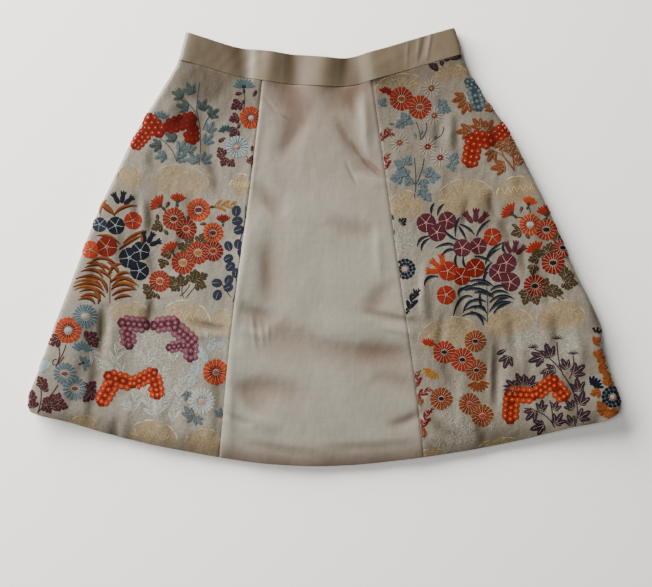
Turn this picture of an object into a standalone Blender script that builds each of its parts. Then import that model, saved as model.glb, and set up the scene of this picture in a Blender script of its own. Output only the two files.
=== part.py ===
"""Mini skirt of satin and brocade, laid flat: three front panels over two back panels, and a waistband.

The frame is +X to the viewer's right, +Y towards the waist and +Z up, with the origin under the middle
of the skirt on the surface that it lies on. Sizes below are in millimetres, and the meshes in metres.
"""

import math
from typing import Callable, NamedTuple, Sequence

import bmesh
import bpy
from mathutils import Vector

COLLECTION_NAME = "mini_skirt"
METRES_PER_MM = 0.001

# Walls and seams
PANEL_WALL = 1.4
BAND_WALL = 2.0
SEAM_GAP = 0.3
BACK_INSET = 1.5
INSET_FADE = 50.0

# Side folds, where the front turns over into the back
FOLD_RADIUS_WAIST = 6.0
FOLD_RADIUS_HEM = 8.0
FOLD_STEPS = 4

# Height of the front's inner face over the surface, and how it eases down from the side folds
MIDDLE_HEIGHT = 9.0
SHOULDER_WIDTH = 95.0
CREASE_FADE = 16.0

# The hem's allowance rolls down at the edge
HEM_ALLOWANCE = 21.0
HEM_DROP = 2.2

# Rows down the skirt: even ones, then closer ones towards the hem, as distances above it
EVEN_ROWS = 26
HEM_ROW_DISTANCES = (22.0, 15.0, 9.0, 4.0, 0.0)
SKIRT_FALL = 400.0
SIDE_PANEL_COLUMNS = 12
CENTRE_PANEL_COLUMNS = 18
BACK_PANEL_COLUMNS = 12
BAND_FRONT_COLUMNS = 38
BAND_BACK_COLUMNS = 16
BAND_ROWS = 3

# How slopes are measured on the front, and how often an edge's end is settled on an outline
SLOPE_REACH = 0.5
SETTLING_STEPS = 40
SHARP_ANGLE = 50.0


class Side(NamedTuple):
    """Where the two side folds stand at one height of the flat skirt."""

    y: float
    left: float
    right: float


class Spot(NamedTuple):
    """One point of an outline, seen from above."""

    x: float
    y: float


class Crease(NamedTuple):
    """A soft ridge (height over 0) or trough (under 0) along a straight line on the front."""

    x_start: float
    y_start: float
    x_end: float
    y_end: float
    half_width: float
    height: float


SIDES = (
    Side(y=237.0, left=-147.0, right=139.0),
    Side(y=218.0, left=-151.8, right=145.8),
    Side(y=200.7, left=-156.6, right=149.4),
    Side(y=169.0, left=-174.4, right=166.9),
    Side(y=126.0, left=-200.7, right=196.9),
    Side(y=83.0, left=-221.8, right=219.6),
    Side(y=29.5, left=-246.3, right=245.2),
    Side(y=-24.0, left=-266.5, right=267.7),
    Side(y=-67.0, left=-282.9, right=289.2),
    Side(y=-89.0, left=-291.3, right=297.4),
    Side(y=-102.0, left=-295.6, right=296.9),
    Side(y=-131.0, left=-306.0, right=304.0),
    Side(y=-158.0, left=-316.0, right=314.6),
    Side(y=-168.0, left=-317.5, right=317.5),
    Side(y=-174.6, left=-315.5, right=315.5),
)
WAIST_SEAM = (
    Spot(x=-156.6, y=200.7),
    Spot(x=-125.0, y=192.5),
    Spot(x=-100.9, y=185.4),
    Spot(x=-66.6, y=178.4),
    Spot(x=-26.8, y=174.2),
    Spot(x=30.0, y=173.6),
    Spot(x=59.2, y=181.0),
    Spot(x=110.0, y=195.8),
    Spot(x=149.4, y=206.9),
)
BAND_TOP = (
    Spot(x=-148.6, y=230.4),
    Spot(x=-125.0, y=223.4),
    Spot(x=-100.9, y=216.2),
    Spot(x=-62.0, y=210.2),
    Spot(x=-26.8, y=206.6),
    Spot(x=22.0, y=203.2),
    Spot(x=59.2, y=211.9),
    Spot(x=92.8, y=221.8),
    Spot(x=139.7, y=235.0),
)
HEM = (
    Spot(x=-315.5, y=-174.6),
    Spot(x=-309.0, y=-177.3),
    Spot(x=-275.9, y=-186.7),
    Spot(x=-220.7, y=-203.4),
    Spot(x=-157.2, y=-217.4),
    Spot(x=-72.4, y=-231.4),
    Spot(x=3.8, y=-235.0),
    Spot(x=99.3, y=-226.2),
    Spot(x=207.4, y=-207.6),
    Spot(x=260.4, y=-193.6),
    Spot(x=309.0, y=-179.6),
    Spot(x=315.5, y=-175.2),
)
LEFT_SEAM = (
    Spot(x=-66.6, y=178.4),
    Spot(x=-79.1, y=70.3),
    Spot(x=-94.1, y=-39.2),
    Spot(x=-103.7, y=-121.4),
    Spot(x=-113.2, y=-226.0),
)
RIGHT_SEAM = (
    Spot(x=51.0, y=178.4),
    Spot(x=66.0, y=73.0),
    Spot(x=81.0, y=-33.8),
    Spot(x=96.0, y=-135.1),
    Spot(x=106.5, y=-225.2),
)
BACK_SEAM = (
    Spot(x=-3.0, y=173.2),
    Spot(x=2.0, y=-235.0),
)
CREASES = (
    Crease(x_start=-54.0, y_start=250.0, x_end=-54.0, y_end=128.0, half_width=26.0, height=2.0),
    Crease(x_start=-28.0, y_start=250.0, x_end=-30.0, y_end=140.0, half_width=24.0, height=-1.6),
    Crease(x_start=2.0, y_start=250.0, x_end=0.0, y_end=130.0, half_width=26.0, height=1.8),
    Crease(x_start=31.0, y_start=250.0, x_end=30.0, y_end=140.0, half_width=24.0, height=-1.6),
    Crease(x_start=64.0, y_start=250.0, x_end=66.0, y_end=150.0, half_width=26.0, height=1.4),
    Crease(x_start=-55.0, y_start=180.0, x_end=-99.0, y_end=-232.0, half_width=20.0, height=1.5),
    Crease(x_start=-8.0, y_start=158.0, x_end=-56.0, y_end=92.0, half_width=20.0, height=-1.6),
    Crease(x_start=14.0, y_start=134.0, x_end=62.0, y_end=72.0, half_width=18.0, height=-1.7),
    Crease(x_start=40.0, y_start=176.0, x_end=50.0, y_end=84.0, half_width=16.0, height=1.4),
    Crease(x_start=-72.0, y_start=74.0, x_end=-42.0, y_end=34.0, half_width=18.0, height=-1.6),
    Crease(x_start=-58.0, y_start=18.0, x_end=-64.0, y_end=-62.0, half_width=18.0, height=-1.7),
    Crease(x_start=-92.0, y_start=-66.0, x_end=-58.0, y_end=-82.0, half_width=18.0, height=-1.5),
    Crease(x_start=-98.0, y_start=-150.0, x_end=-50.0, y_end=-168.0, half_width=18.0, height=-1.5),
    Crease(x_start=-40.0, y_start=-86.0, x_end=60.0, y_end=-90.0, half_width=30.0, height=1.4),
    Crease(x_start=36.0, y_start=-102.0, x_end=98.0, y_end=-124.0, half_width=18.0, height=-1.8),
    Crease(x_start=58.0, y_start=-34.0, x_end=54.0, y_end=-80.0, half_width=18.0, height=-1.4),
    Crease(x_start=176.0, y_start=-88.0, x_end=180.0, y_end=-176.0, half_width=18.0, height=-1.8),
    Crease(x_start=196.0, y_start=-84.0, x_end=200.0, y_end=-180.0, half_width=20.0, height=1.4),
    Crease(x_start=-236.0, y_start=-54.0, x_end=-246.0, y_end=-152.0, half_width=18.0, height=-1.8),
    Crease(x_start=-216.0, y_start=-50.0, x_end=-226.0, y_end=-212.0, half_width=20.0, height=1.4),
    Crease(x_start=-171.0, y_start=-140.0, x_end=-172.0, y_end=-236.0, half_width=20.0, height=1.2),
    Crease(x_start=-178.0, y_start=150.0, x_end=-128.0, y_end=120.0, half_width=18.0, height=-1.4),
)


class Cloth(NamedTuple):
    """The look of one cloth."""

    name: str
    colour: tuple[float, float, float]
    roughness: float


SATIN = Cloth(name="greige_satin", colour=(0.33, 0.27, 0.205), roughness=0.42)
BROCADE = Cloth(name="figured_brocade", colour=(0.40, 0.30, 0.21), roughness=0.5)
BAND_SATIN = Cloth(name="taupe_band_satin", colour=(0.27, 0.22, 0.165), roughness=0.38)


def eased(share: float) -> float:
    """Ease a share from 0 to 1, level at both ends."""
    held = min(max(share, 0.0), 1.0)
    return held * held * (3.0 - 2.0 * held)


def mixed(first: float, second: float, share: float) -> float:
    """Mix two numbers by a share from 0 to 1."""
    return first + (second - first) * share


def smooth_value(knots: Sequence[float], values: Sequence[float], place: float) -> float:
    """Read a smooth curve through the values at a place along rising knots, straight beyond its ends."""
    last = len(knots) - 1
    slopes = [(values[i + 1] - values[i]) / (knots[i + 1] - knots[i]) for i in range(last)]
    if place <= knots[0]:
        return values[0] + slopes[0] * (place - knots[0])
    if place >= knots[last]:
        return values[last] + slopes[-1] * (place - knots[last])
    index = max(i for i in range(last) if knots[i] <= place)

    def tangent(knot: int) -> float:
        if knot in (0, last):
            return slopes[min(knot, last - 1)]
        before = knots[knot] - knots[knot - 1]
        after = knots[knot + 1] - knots[knot]
        return (slopes[knot - 1] * after + slopes[knot] * before) / (before + after)

    length = knots[index + 1] - knots[index]
    t = (place - knots[index]) / length
    square = t * t
    cube = square * t
    return (
        (2.0 * cube - 3.0 * square + 1.0) * values[index]
        + (cube - 2.0 * square + t) * length * tangent(index)
        + (3.0 * square - 2.0 * cube) * values[index + 1]
        + (cube - square) * length * tangent(index + 1)
    )


def height_of(outline: Sequence[Spot], x: float) -> float:
    """The y of an outline that runs across the skirt, at one x."""
    return smooth_value([spot.x for spot in outline], [spot.y for spot in outline], x)


def across_at(seam: Sequence[Spot], y: float) -> float:
    """The x of a seam that runs down the skirt, at one y."""
    rising = tuple(reversed(seam))
    return smooth_value([spot.y for spot in rising], [spot.x for spot in rising], y)


SIDES_RISING = tuple(reversed(SIDES))
SIDE_HEIGHTS = [row.y for row in SIDES_RISING]


def left_side(y: float) -> float:
    """The x of the left side fold's middle surface at one y."""
    return smooth_value(SIDE_HEIGHTS, [row.left for row in SIDES_RISING], y) + PANEL_WALL / 2.0


def right_side(y: float) -> float:
    """The x of the right side fold's middle surface at one y."""
    return smooth_value(SIDE_HEIGHTS, [row.right for row in SIDES_RISING], y) - PANEL_WALL / 2.0


def fold_radius(y: float) -> float:
    """The radius of both side folds at one y."""
    fall = (WAIST_SEAM[0].y - y) / (WAIST_SEAM[0].y - HEM[0].y)
    return mixed(FOLD_RADIUS_WAIST, FOLD_RADIUS_HEM, min(max(fall, 0.0), 1.0))


def side_distance(x: float, y: float) -> float:
    """How far a spot lies in from the nearer side fold's outline."""
    return min(x - left_side(y), right_side(y) - x)


def crease_height(x: float, y: float) -> float:
    """The sum of all the creases at a spot of the front."""
    total = 0.0
    for crease in CREASES:
        run = Vector((crease.x_end - crease.x_start, crease.y_end - crease.y_start))
        offset = Vector((x - crease.x_start, y - crease.y_start))
        along = offset.dot(run) / run.length_squared
        aside = abs(offset.x * run.y - offset.y * run.x) / run.length / crease.half_width
        if 0.0 < along < 1.0 and aside < 1.0:
            total += crease.height * (1.0 - aside**2) ** 2 * (1.0 - (2.0 * along - 1.0) ** 4)
    return total


def inner_height(x: float, y: float) -> float:
    """The height of the front's inner face over the surface that the skirt lies on."""
    radius = fold_radius(y)
    inward = side_distance(x, y) - radius
    sag = (2.0 * radius - MIDDLE_HEIGHT) * eased(inward / SHOULDER_WIDTH)
    over_hem = max(0.0, 1.0 - (y - height_of(HEM, x)) / HEM_ALLOWANCE)
    rolled = HEM_DROP * over_hem**2
    return 2.0 * radius - sag + (crease_height(x, y) - rolled) * eased(inward / CREASE_FADE)


def front_normal(x: float, y: float) -> Vector:
    """The unit normal of the front's smooth height at a spot."""
    slope_x = inner_height(x + SLOPE_REACH, y) - inner_height(x - SLOPE_REACH, y)
    slope_y = inner_height(x, y + SLOPE_REACH) - inner_height(x, y - SLOPE_REACH)
    return Vector((-slope_x, -slope_y, 2.0 * SLOPE_REACH)).normalized()


def side_normal(x: float, y: float) -> Vector:
    """The level unit normal that points out of the nearer side fold."""
    side = left_side if x < 0.0 else right_side
    lean = (side(y + SLOPE_REACH) - side(y - SLOPE_REACH)) / (2.0 * SLOPE_REACH)
    return Vector((1.0, -lean, 0.0)).normalized() * (-1.0 if x < 0.0 else 1.0)


class Panel(NamedTuple):
    """A sewn piece: its four edges seen from above, and how it lies."""

    name: str
    cloth: Cloth
    wall: float
    top: Callable[[float], float]
    bottom: Callable[[float], float]
    inner_edge: Callable[[float], float]
    outer_edge: Callable[[float], float]
    folds: tuple[bool, bool]
    is_back: bool


class Column(NamedTuple):
    """A line of points down a panel: its share across, or its angle round a side fold."""

    share: float
    angle: float
    turned: int


def columns_of(panel: Panel, count: int) -> list[Column]:
    """List a panel's columns from the left, with those round a side fold at one end of it."""
    flat = [Column(share=i / count, angle=0.0, turned=0) for i in range(count + 1)]
    quarter = math.pi / 2.0
    angles = [quarter * (step + 1) / FOLD_STEPS for step in range(FOLD_STEPS)]
    left = [Column(share=0.0, angle=angle, turned=-1) for angle in reversed(angles)]
    right = [Column(share=1.0, angle=angle, turned=1) for angle in angles]
    return (left if panel.folds[0] else []) + flat + (right if panel.folds[1] else [])


def edge_y(outline: Callable[[float], float], edge: Callable[[float], float]) -> float:
    """Find the y where an edge that runs down meets an outline that runs across."""
    y = outline(0.0)
    for _ in range(SETTLING_STEPS):
        y = outline(edge(y))
    return y


def panel_spot(panel: Panel, column: Column, fall: float) -> tuple[Vector, Vector]:
    """Place one point of a panel's middle surface.

    Args:
        panel: The sewn piece.
        column: Where the point is across the piece.
        fall: How far down the piece it is, from 0 at the top to 1 at the bottom.

    Returns:
        The point, and the unit normal that points out of the skirt there.
    """
    ends = []
    for edge in (panel.inner_edge, panel.outer_edge):
        y_top = edge_y(panel.top, edge)
        y_bottom = edge_y(panel.bottom, edge)
        y = mixed(y_top, y_bottom, fall)
        ends.append((edge(y), y, edge(y_top), edge(y_bottom)))
    (x_left, y_left, top_left, bottom_left), (x_right, y_right, top_right, bottom_right) = ends

    y_middle = (y_left + y_right) / 2.0
    radius = fold_radius(y_middle)
    width = x_right - x_left
    trim_left = radius if panel.folds[0] else SEAM_GAP / 2.0
    trim_right = radius if panel.folds[1] else SEAM_GAP / 2.0
    from_left = trim_left + column.share * (width - trim_left - trim_right)
    if column.turned:
        reach = radius * (1.0 - math.sin(column.angle))
        from_left = reach if column.turned < 0 else width - reach
    share = from_left / width

    x = mixed(x_left, x_right, share)
    straight_top = mixed(panel.top(top_left), panel.top(top_right), share)
    straight_bottom = mixed(panel.bottom(bottom_left), panel.bottom(bottom_right), share)
    bend_top = panel.top(mixed(top_left, top_right, share)) - straight_top
    bend_bottom = panel.bottom(mixed(bottom_left, bottom_right, share)) - straight_bottom
    y = mixed(y_left, y_right, share) + mixed(bend_top, bend_bottom, fall)
    return lie(panel, x, y, column, radius)


def lie(panel: Panel, x: float, y: float, column: Column, radius: float) -> tuple[Vector, Vector]:
    """Lay a spot of a panel on the front's or the back's height, turned round a side fold."""
    angle = min(column.angle, math.pi / 2.0 - SEAM_GAP / 2.0 / radius)
    drop = radius * (1.0 - math.cos(angle))
    outward = side_normal(x, y) * math.sin(angle)
    upright = Vector((0.0, 0.0, 1.0)) if column.turned or panel.is_back else front_normal(x, y)
    if panel.is_back:
        return Vector((x, y, panel.wall / 2.0 + drop)), outward - upright * math.cos(angle)
    point = Vector((x, y, inner_height(x, y) + panel.wall / 2.0 - drop))
    return point, (outward + upright * math.cos(angle)).normalized()


def cloth_material(cloth: Cloth) -> bpy.types.Material:
    """Make a cloth's plain material, or find it if another piece has it."""
    found = bpy.data.materials.get(cloth.name)
    if found:
        return found
    material = bpy.data.materials.new(cloth.name)
    material.use_nodes = True
    shader = material.node_tree.nodes["Principled BSDF"]
    shader.inputs["Base Color"].default_value = (*cloth.colour, 1.0)
    shader.inputs["Roughness"].default_value = cloth.roughness
    shader.inputs["Metallic"].default_value = 0.0
    return material


def add_wall(panel: Panel, columns: int, falls: Sequence[float], collection: bpy.types.Collection) -> None:
    """Build one sewn piece as a closed wall from a grid and its extruded second face."""
    across = columns_of(panel, columns)
    last_column = len(across) - 1
    last_row = len(falls) - 1
    bm = bmesh.new()
    bmesh.ops.create_grid(bm, x_segments=last_column, y_segments=last_row, size=1.0)
    inner = bm.verts[:]
    copied = bmesh.ops.extrude_face_region(bm, geom=bm.faces[:])["geom"]
    outer = [item for item in copied if isinstance(item, bmesh.types.BMVert)]
    for verts, offset in ((inner, -panel.wall / 2.0), (outer, panel.wall / 2.0)):
        for vert in verts:
            column = round((vert.co.x + 1.0) / 2.0 * last_column)
            row = round((1.0 - vert.co.y) / 2.0 * last_row)
            point, normal = panel_spot(panel, across[column], falls[row])
            vert.co = (point + normal * offset) * METRES_PER_MM
    bmesh.ops.recalc_face_normals(bm, faces=bm.faces[:])
    mesh = bpy.data.meshes.new(panel.name)
    bm.to_mesh(mesh)
    bm.free()
    mesh.shade_smooth()
    mesh.set_sharp_from_angle(angle=math.radians(SHARP_ANGLE))
    mesh.materials.append(cloth_material(panel.cloth))
    collection.objects.link(bpy.data.objects.new(panel.name, mesh))


def skirt_falls() -> list[float]:
    """The rows of a skirt panel, as shares of its fall."""
    above_hem = [1.0 - distance / SKIRT_FALL for distance in HEM_ROW_DISTANCES]
    even = [above_hem[0] * row / EVEN_ROWS for row in range(EVEN_ROWS)]
    return even + above_hem


def shifted(outline: Sequence[Spot], offset: float) -> Callable[[float], float]:
    """An outline across the skirt, moved along Y by an offset such as half a seam's gap."""
    return lambda x: height_of(outline, x) + offset


def inset(outline: Sequence[Spot], offset: float) -> Callable[[float], float]:
    """An outline across the back, moved along Y by an offset that fades out at the side folds."""
    def moved(x: float) -> float:
        from_end = min(x - outline[0].x, outline[-1].x - x)
        return height_of(outline, x) + offset * eased(from_end / INSET_FADE)
    return moved


def seam_edge(seam: Sequence[Spot]) -> Callable[[float], float]:
    """A seam that runs down the skirt, as the edge of the panels on both sides of it."""
    return lambda y: across_at(seam, y)


def skirt_panels() -> list[tuple[Panel, int]]:
    """The three front panels and two back panels, each with its number of columns."""
    waist = shifted(WAIST_SEAM, -SEAM_GAP / 2.0)
    hem = shifted(HEM, 0.0)
    back_hem = inset(HEM, BACK_INSET)
    left, right, back = seam_edge(LEFT_SEAM), seam_edge(RIGHT_SEAM), seam_edge(BACK_SEAM)
    folded_left, folded_right, plain = (True, False), (False, True), (False, False)
    return [
        (Panel("front_left", BROCADE, PANEL_WALL, waist, hem, left_side, left, folded_left, False),
         SIDE_PANEL_COLUMNS),
        (Panel("front_centre", SATIN, PANEL_WALL, waist, hem, left, right, plain, False),
         CENTRE_PANEL_COLUMNS),
        (Panel("front_right", BROCADE, PANEL_WALL, waist, hem, right, right_side, folded_right, False),
         SIDE_PANEL_COLUMNS),
        (Panel("back_left", SATIN, PANEL_WALL, waist, back_hem, left_side, back, folded_left, True),
         BACK_PANEL_COLUMNS),
        (Panel("back_right", SATIN, PANEL_WALL, waist, back_hem, back, right_side, folded_right, True),
         BACK_PANEL_COLUMNS),
    ]


def band_panels() -> list[tuple[Panel, int]]:
    """The waistband's front and its two back pieces, each with its number of columns."""
    waist = shifted(WAIST_SEAM, SEAM_GAP / 2.0)
    top = shifted(BAND_TOP, 0.0)
    back_top = inset(BAND_TOP, -BACK_INSET)
    back = seam_edge(BACK_SEAM)
    return [
        (Panel("waistband_front", BAND_SATIN, BAND_WALL, top, waist, left_side, right_side,
               (True, True), False), BAND_FRONT_COLUMNS),
        (Panel("waistband_back_left", BAND_SATIN, BAND_WALL, back_top, waist, left_side, back,
               (True, False), True), BAND_BACK_COLUMNS),
        (Panel("waistband_back_right", BAND_SATIN, BAND_WALL, back_top, waist, back, right_side,
               (False, True), True), BAND_BACK_COLUMNS),
    ]


def main() -> None:
    """Clear the scene and build every sewn piece of the skirt."""
    for item in list(bpy.data.objects):
        bpy.data.objects.remove(item, do_unlink=True)
    collection = bpy.data.collections.new(COLLECTION_NAME)
    bpy.context.scene.collection.children.link(collection)
    for panel, columns in skirt_panels():
        add_wall(panel, columns, skirt_falls(), collection)
    band_falls = [row / BAND_ROWS for row in range(BAND_ROWS + 1)]
    for panel, columns in band_panels():
        add_wall(panel, columns, band_falls, collection)


main()
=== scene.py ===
"""Looks of a mini skirt laid flat: satin and brocade panels, woven flowers, and a satin waistband.

Sizes are in millimetres in the tables and in the form, and in metres in the meshes. Places in the
photograph are in its pixels, px from the left and py from the top. Directions are in degrees,
anticlockwise from +X.
"""

import logging
import math
from collections import defaultdict
from dataclasses import dataclass, field
from enum import Enum
from functools import partial
from typing import Callable, NamedTuple, Sequence

import bmesh
import bpy
import numpy as np
from mathutils import Matrix, Vector


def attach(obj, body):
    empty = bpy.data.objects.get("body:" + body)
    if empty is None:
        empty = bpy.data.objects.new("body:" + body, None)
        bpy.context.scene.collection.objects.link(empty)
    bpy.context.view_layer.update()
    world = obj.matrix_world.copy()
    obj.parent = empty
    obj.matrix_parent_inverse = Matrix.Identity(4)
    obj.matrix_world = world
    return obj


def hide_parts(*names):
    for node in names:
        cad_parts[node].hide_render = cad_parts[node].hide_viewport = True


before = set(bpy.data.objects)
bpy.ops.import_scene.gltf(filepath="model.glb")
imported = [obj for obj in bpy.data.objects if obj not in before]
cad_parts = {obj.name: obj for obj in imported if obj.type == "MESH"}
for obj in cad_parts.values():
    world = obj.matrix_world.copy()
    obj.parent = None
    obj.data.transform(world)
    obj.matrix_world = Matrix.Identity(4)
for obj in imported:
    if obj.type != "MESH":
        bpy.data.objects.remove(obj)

logging.basicConfig(level=logging.INFO, format="%(message)s")
LOG = logging.getLogger("mini_skirt")

Array = np.ndarray
Spot = tuple[float, float]
Outline = Sequence[Spot]
Line = Callable[[Array], Array]
Row = Sequence[float]
Tones = Callable[[Array, Array], dict[str, Array]]
Colour = tuple[float, ...]
Tree = bpy.types.NodeTree
Socket = bpy.types.NodeSocket

MM = 0.001
IMAGE_WIDTH_PX = 652
IMAGE_HEIGHT_PX = 587
MM_PER_PX = 1.073
PHOTO_ORIGIN_PX = (324.5, 247.5)

# How far a crease swings aside as a share of its half width, and how its flanks and ends die away
CREASE_SWING = 0.35
CREASE_FLANK = 2.2
CREASE_END = 1.2

# How often an edge's end is settled on an outline, and how far the pattern stays inside its panel
SETTLING_STEPS = 40
PATTERN_MARGIN = 0.35


def photo_place(px: float, py: float) -> Spot:
    """Turn a place in the photograph into the skirt's own millimetres."""
    return (px - PHOTO_ORIGIN_PX[0]) * MM_PER_PX, (PHOTO_ORIGIN_PX[1] - py) * MM_PER_PX


def away(spot: Spot, turn: float, reach: float) -> Spot:
    """The spot at a distance from another, in a direction."""
    aim = math.radians(turn)
    return spot[0] + math.cos(aim) * reach, spot[1] + math.sin(aim) * reach


def linear_colour(code: str) -> Colour:
    """Turn an sRGB hex code into a linear colour with full alpha."""
    shares = (int(code[start:start + 2], 16) / 255.0 for start in (1, 3, 5))
    return (*(s / 12.92 if s <= 0.04045 else ((s + 0.055) / 1.055) ** 2.4 for s in shares), 1.0)


def eased(share: Array) -> Array:
    """Ease a share from 0 to 1, level at both ends."""
    held = np.clip(share, 0.0, 1.0)
    return held * held * (3.0 - 2.0 * held)


def smooth_value(knots: Sequence[float], values: Sequence[float], place: Array) -> Array:
    """Read a smooth curve through the values, straight beyond its ends.

    Args:
        knots: Rising places that the curve passes.
        values: The curve's value at each of them.
        place: Where to read it.

    Returns:
        The values there.
    """
    knot, value, at = (np.asarray(part, float) for part in (knots, values, place))
    length = np.diff(knot)
    slope = np.diff(value) / length
    tangent = np.empty_like(value)
    tangent[0], tangent[-1] = slope[0], slope[-1]
    tangent[1:-1] = (slope[:-1] * length[1:] + slope[1:] * length[:-1]) / (length[:-1] + length[1:])
    index = np.clip(np.searchsorted(knot, at, side="right") - 1, 0, len(length) - 1)
    t = np.clip((at - knot[index]) / length[index], 0.0, 1.0)
    square, cube = t * t, t * t * t
    inside = (
        (2.0 * cube - 3.0 * square + 1.0) * value[index]
        + (cube - 2.0 * square + t) * length[index] * tangent[index]
        + (3.0 * square - 2.0 * cube) * value[index + 1]
        + (cube - square) * length[index] * tangent[index + 1]
    )
    beyond = np.minimum(at - knot[0], 0.0) * slope[0] + np.maximum(at - knot[-1], 0.0) * slope[-1]
    return inside + beyond


def height_at(outline: Outline, x: Array) -> Array:
    """The y of an outline that runs across the skirt, at each x."""
    return smooth_value([spot[0] for spot in outline], [spot[1] for spot in outline], x)


def across_at(seam: Outline, y: Array) -> Array:
    """The x of a seam or a side fold that runs down the skirt, at each y."""
    rising = seam[::-1]
    return smooth_value([spot[1] for spot in rising], [spot[0] for spot in rising], y)


# Outlines: x and y of their spots. The side folds are at their outer faces.
LEFT_SIDE = (
    (-147, 237), (-151.8, 218), (-156.6, 200.7), (-174.4, 169), (-200.7, 126), (-221.8, 83),
    (-246.3, 29.5), (-266.5, -24), (-282.9, -67), (-291.3, -89), (-295.6, -102), (-306, -131),
    (-316, -158), (-317.5, -168), (-315.5, -174.6),
)
RIGHT_SIDE = (
    (139, 237), (145.8, 218), (149.4, 200.7), (166.9, 169), (196.9, 126), (219.6, 83),
    (245.2, 29.5), (267.7, -24), (289.2, -67), (297.4, -89), (296.9, -102), (304, -131),
    (314.6, -158), (317.5, -168), (315.5, -174.6),
)
WAIST_SEAM = (
    (-156.6, 200.7), (-125, 192.5), (-100.9, 185.4), (-66.6, 178.4), (-26.8, 174.2), (30, 173.6),
    (59.2, 181), (110, 195.8), (149.4, 206.9),
)
BAND_TOP = (
    (-148.6, 230.4), (-125, 223.4), (-100.9, 216.2), (-62, 210.2), (-26.8, 206.6), (22, 203.2),
    (59.2, 211.9), (92.8, 221.8), (139.7, 235),
)
HEM = (
    (-315.5, -174.6), (-309, -177.3), (-275.9, -186.7), (-220.7, -203.4), (-157.2, -217.4),
    (-72.4, -231.4), (3.8, -235), (99.3, -226.2), (207.4, -207.6), (260.4, -193.6), (309, -179.6),
    (315.5, -175.2),
)
LEFT_SEAM = ((-66.6, 178.4), (-79.1, 70.3), (-94.1, -39.2), (-103.7, -121.4), (-113.2, -226))
RIGHT_SEAM = ((51, 178.4), (66, 73), (81, -33.8), (96, -135.1), (106.5, -225.2))
BACK_SEAM = ((-3, 173.2), (2, -235))


class Crease(NamedTuple):
    """A soft ridge (height over 0) or trough (under 0) along a straight line on the front."""

    x_start: float
    y_start: float
    x_end: float
    y_end: float
    half_width: float
    height: float


MAIN_CREASES = tuple(Crease(*row) for row in (
    (-54, 250, -54, 128, 26, 2), (-28, 250, -30, 140, 24, -1.6), (2, 250, 0, 130, 26, 1.8),
    (31, 250, 30, 140, 24, -1.6), (64, 250, 66, 150, 26, 1.4), (-55, 180, -99, -232, 20, 1.5),
    (-8, 158, -56, 92, 20, -1.6), (14, 134, 62, 72, 18, -1.7), (40, 176, 50, 84, 16, 1.4),
    (-72, 74, -42, 34, 18, -1.6), (-58, 18, -64, -62, 18, -1.7), (-92, -66, -58, -82, 18, -1.5),
    (-98, -150, -50, -168, 18, -1.5), (-40, -86, 60, -90, 30, 1.4), (36, -102, 98, -124, 18, -1.8),
    (58, -34, 54, -80, 18, -1.4), (176, -88, 180, -176, 18, -1.8), (196, -84, 200, -180, 20, 1.4),
    (-236, -54, -246, -152, 18, -1.8), (-216, -50, -226, -212, 20, 1.4),
    (-171, -140, -172, -236, 20, 1.2), (-178, 150, -128, 120, 18, -1.4),
))
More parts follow.
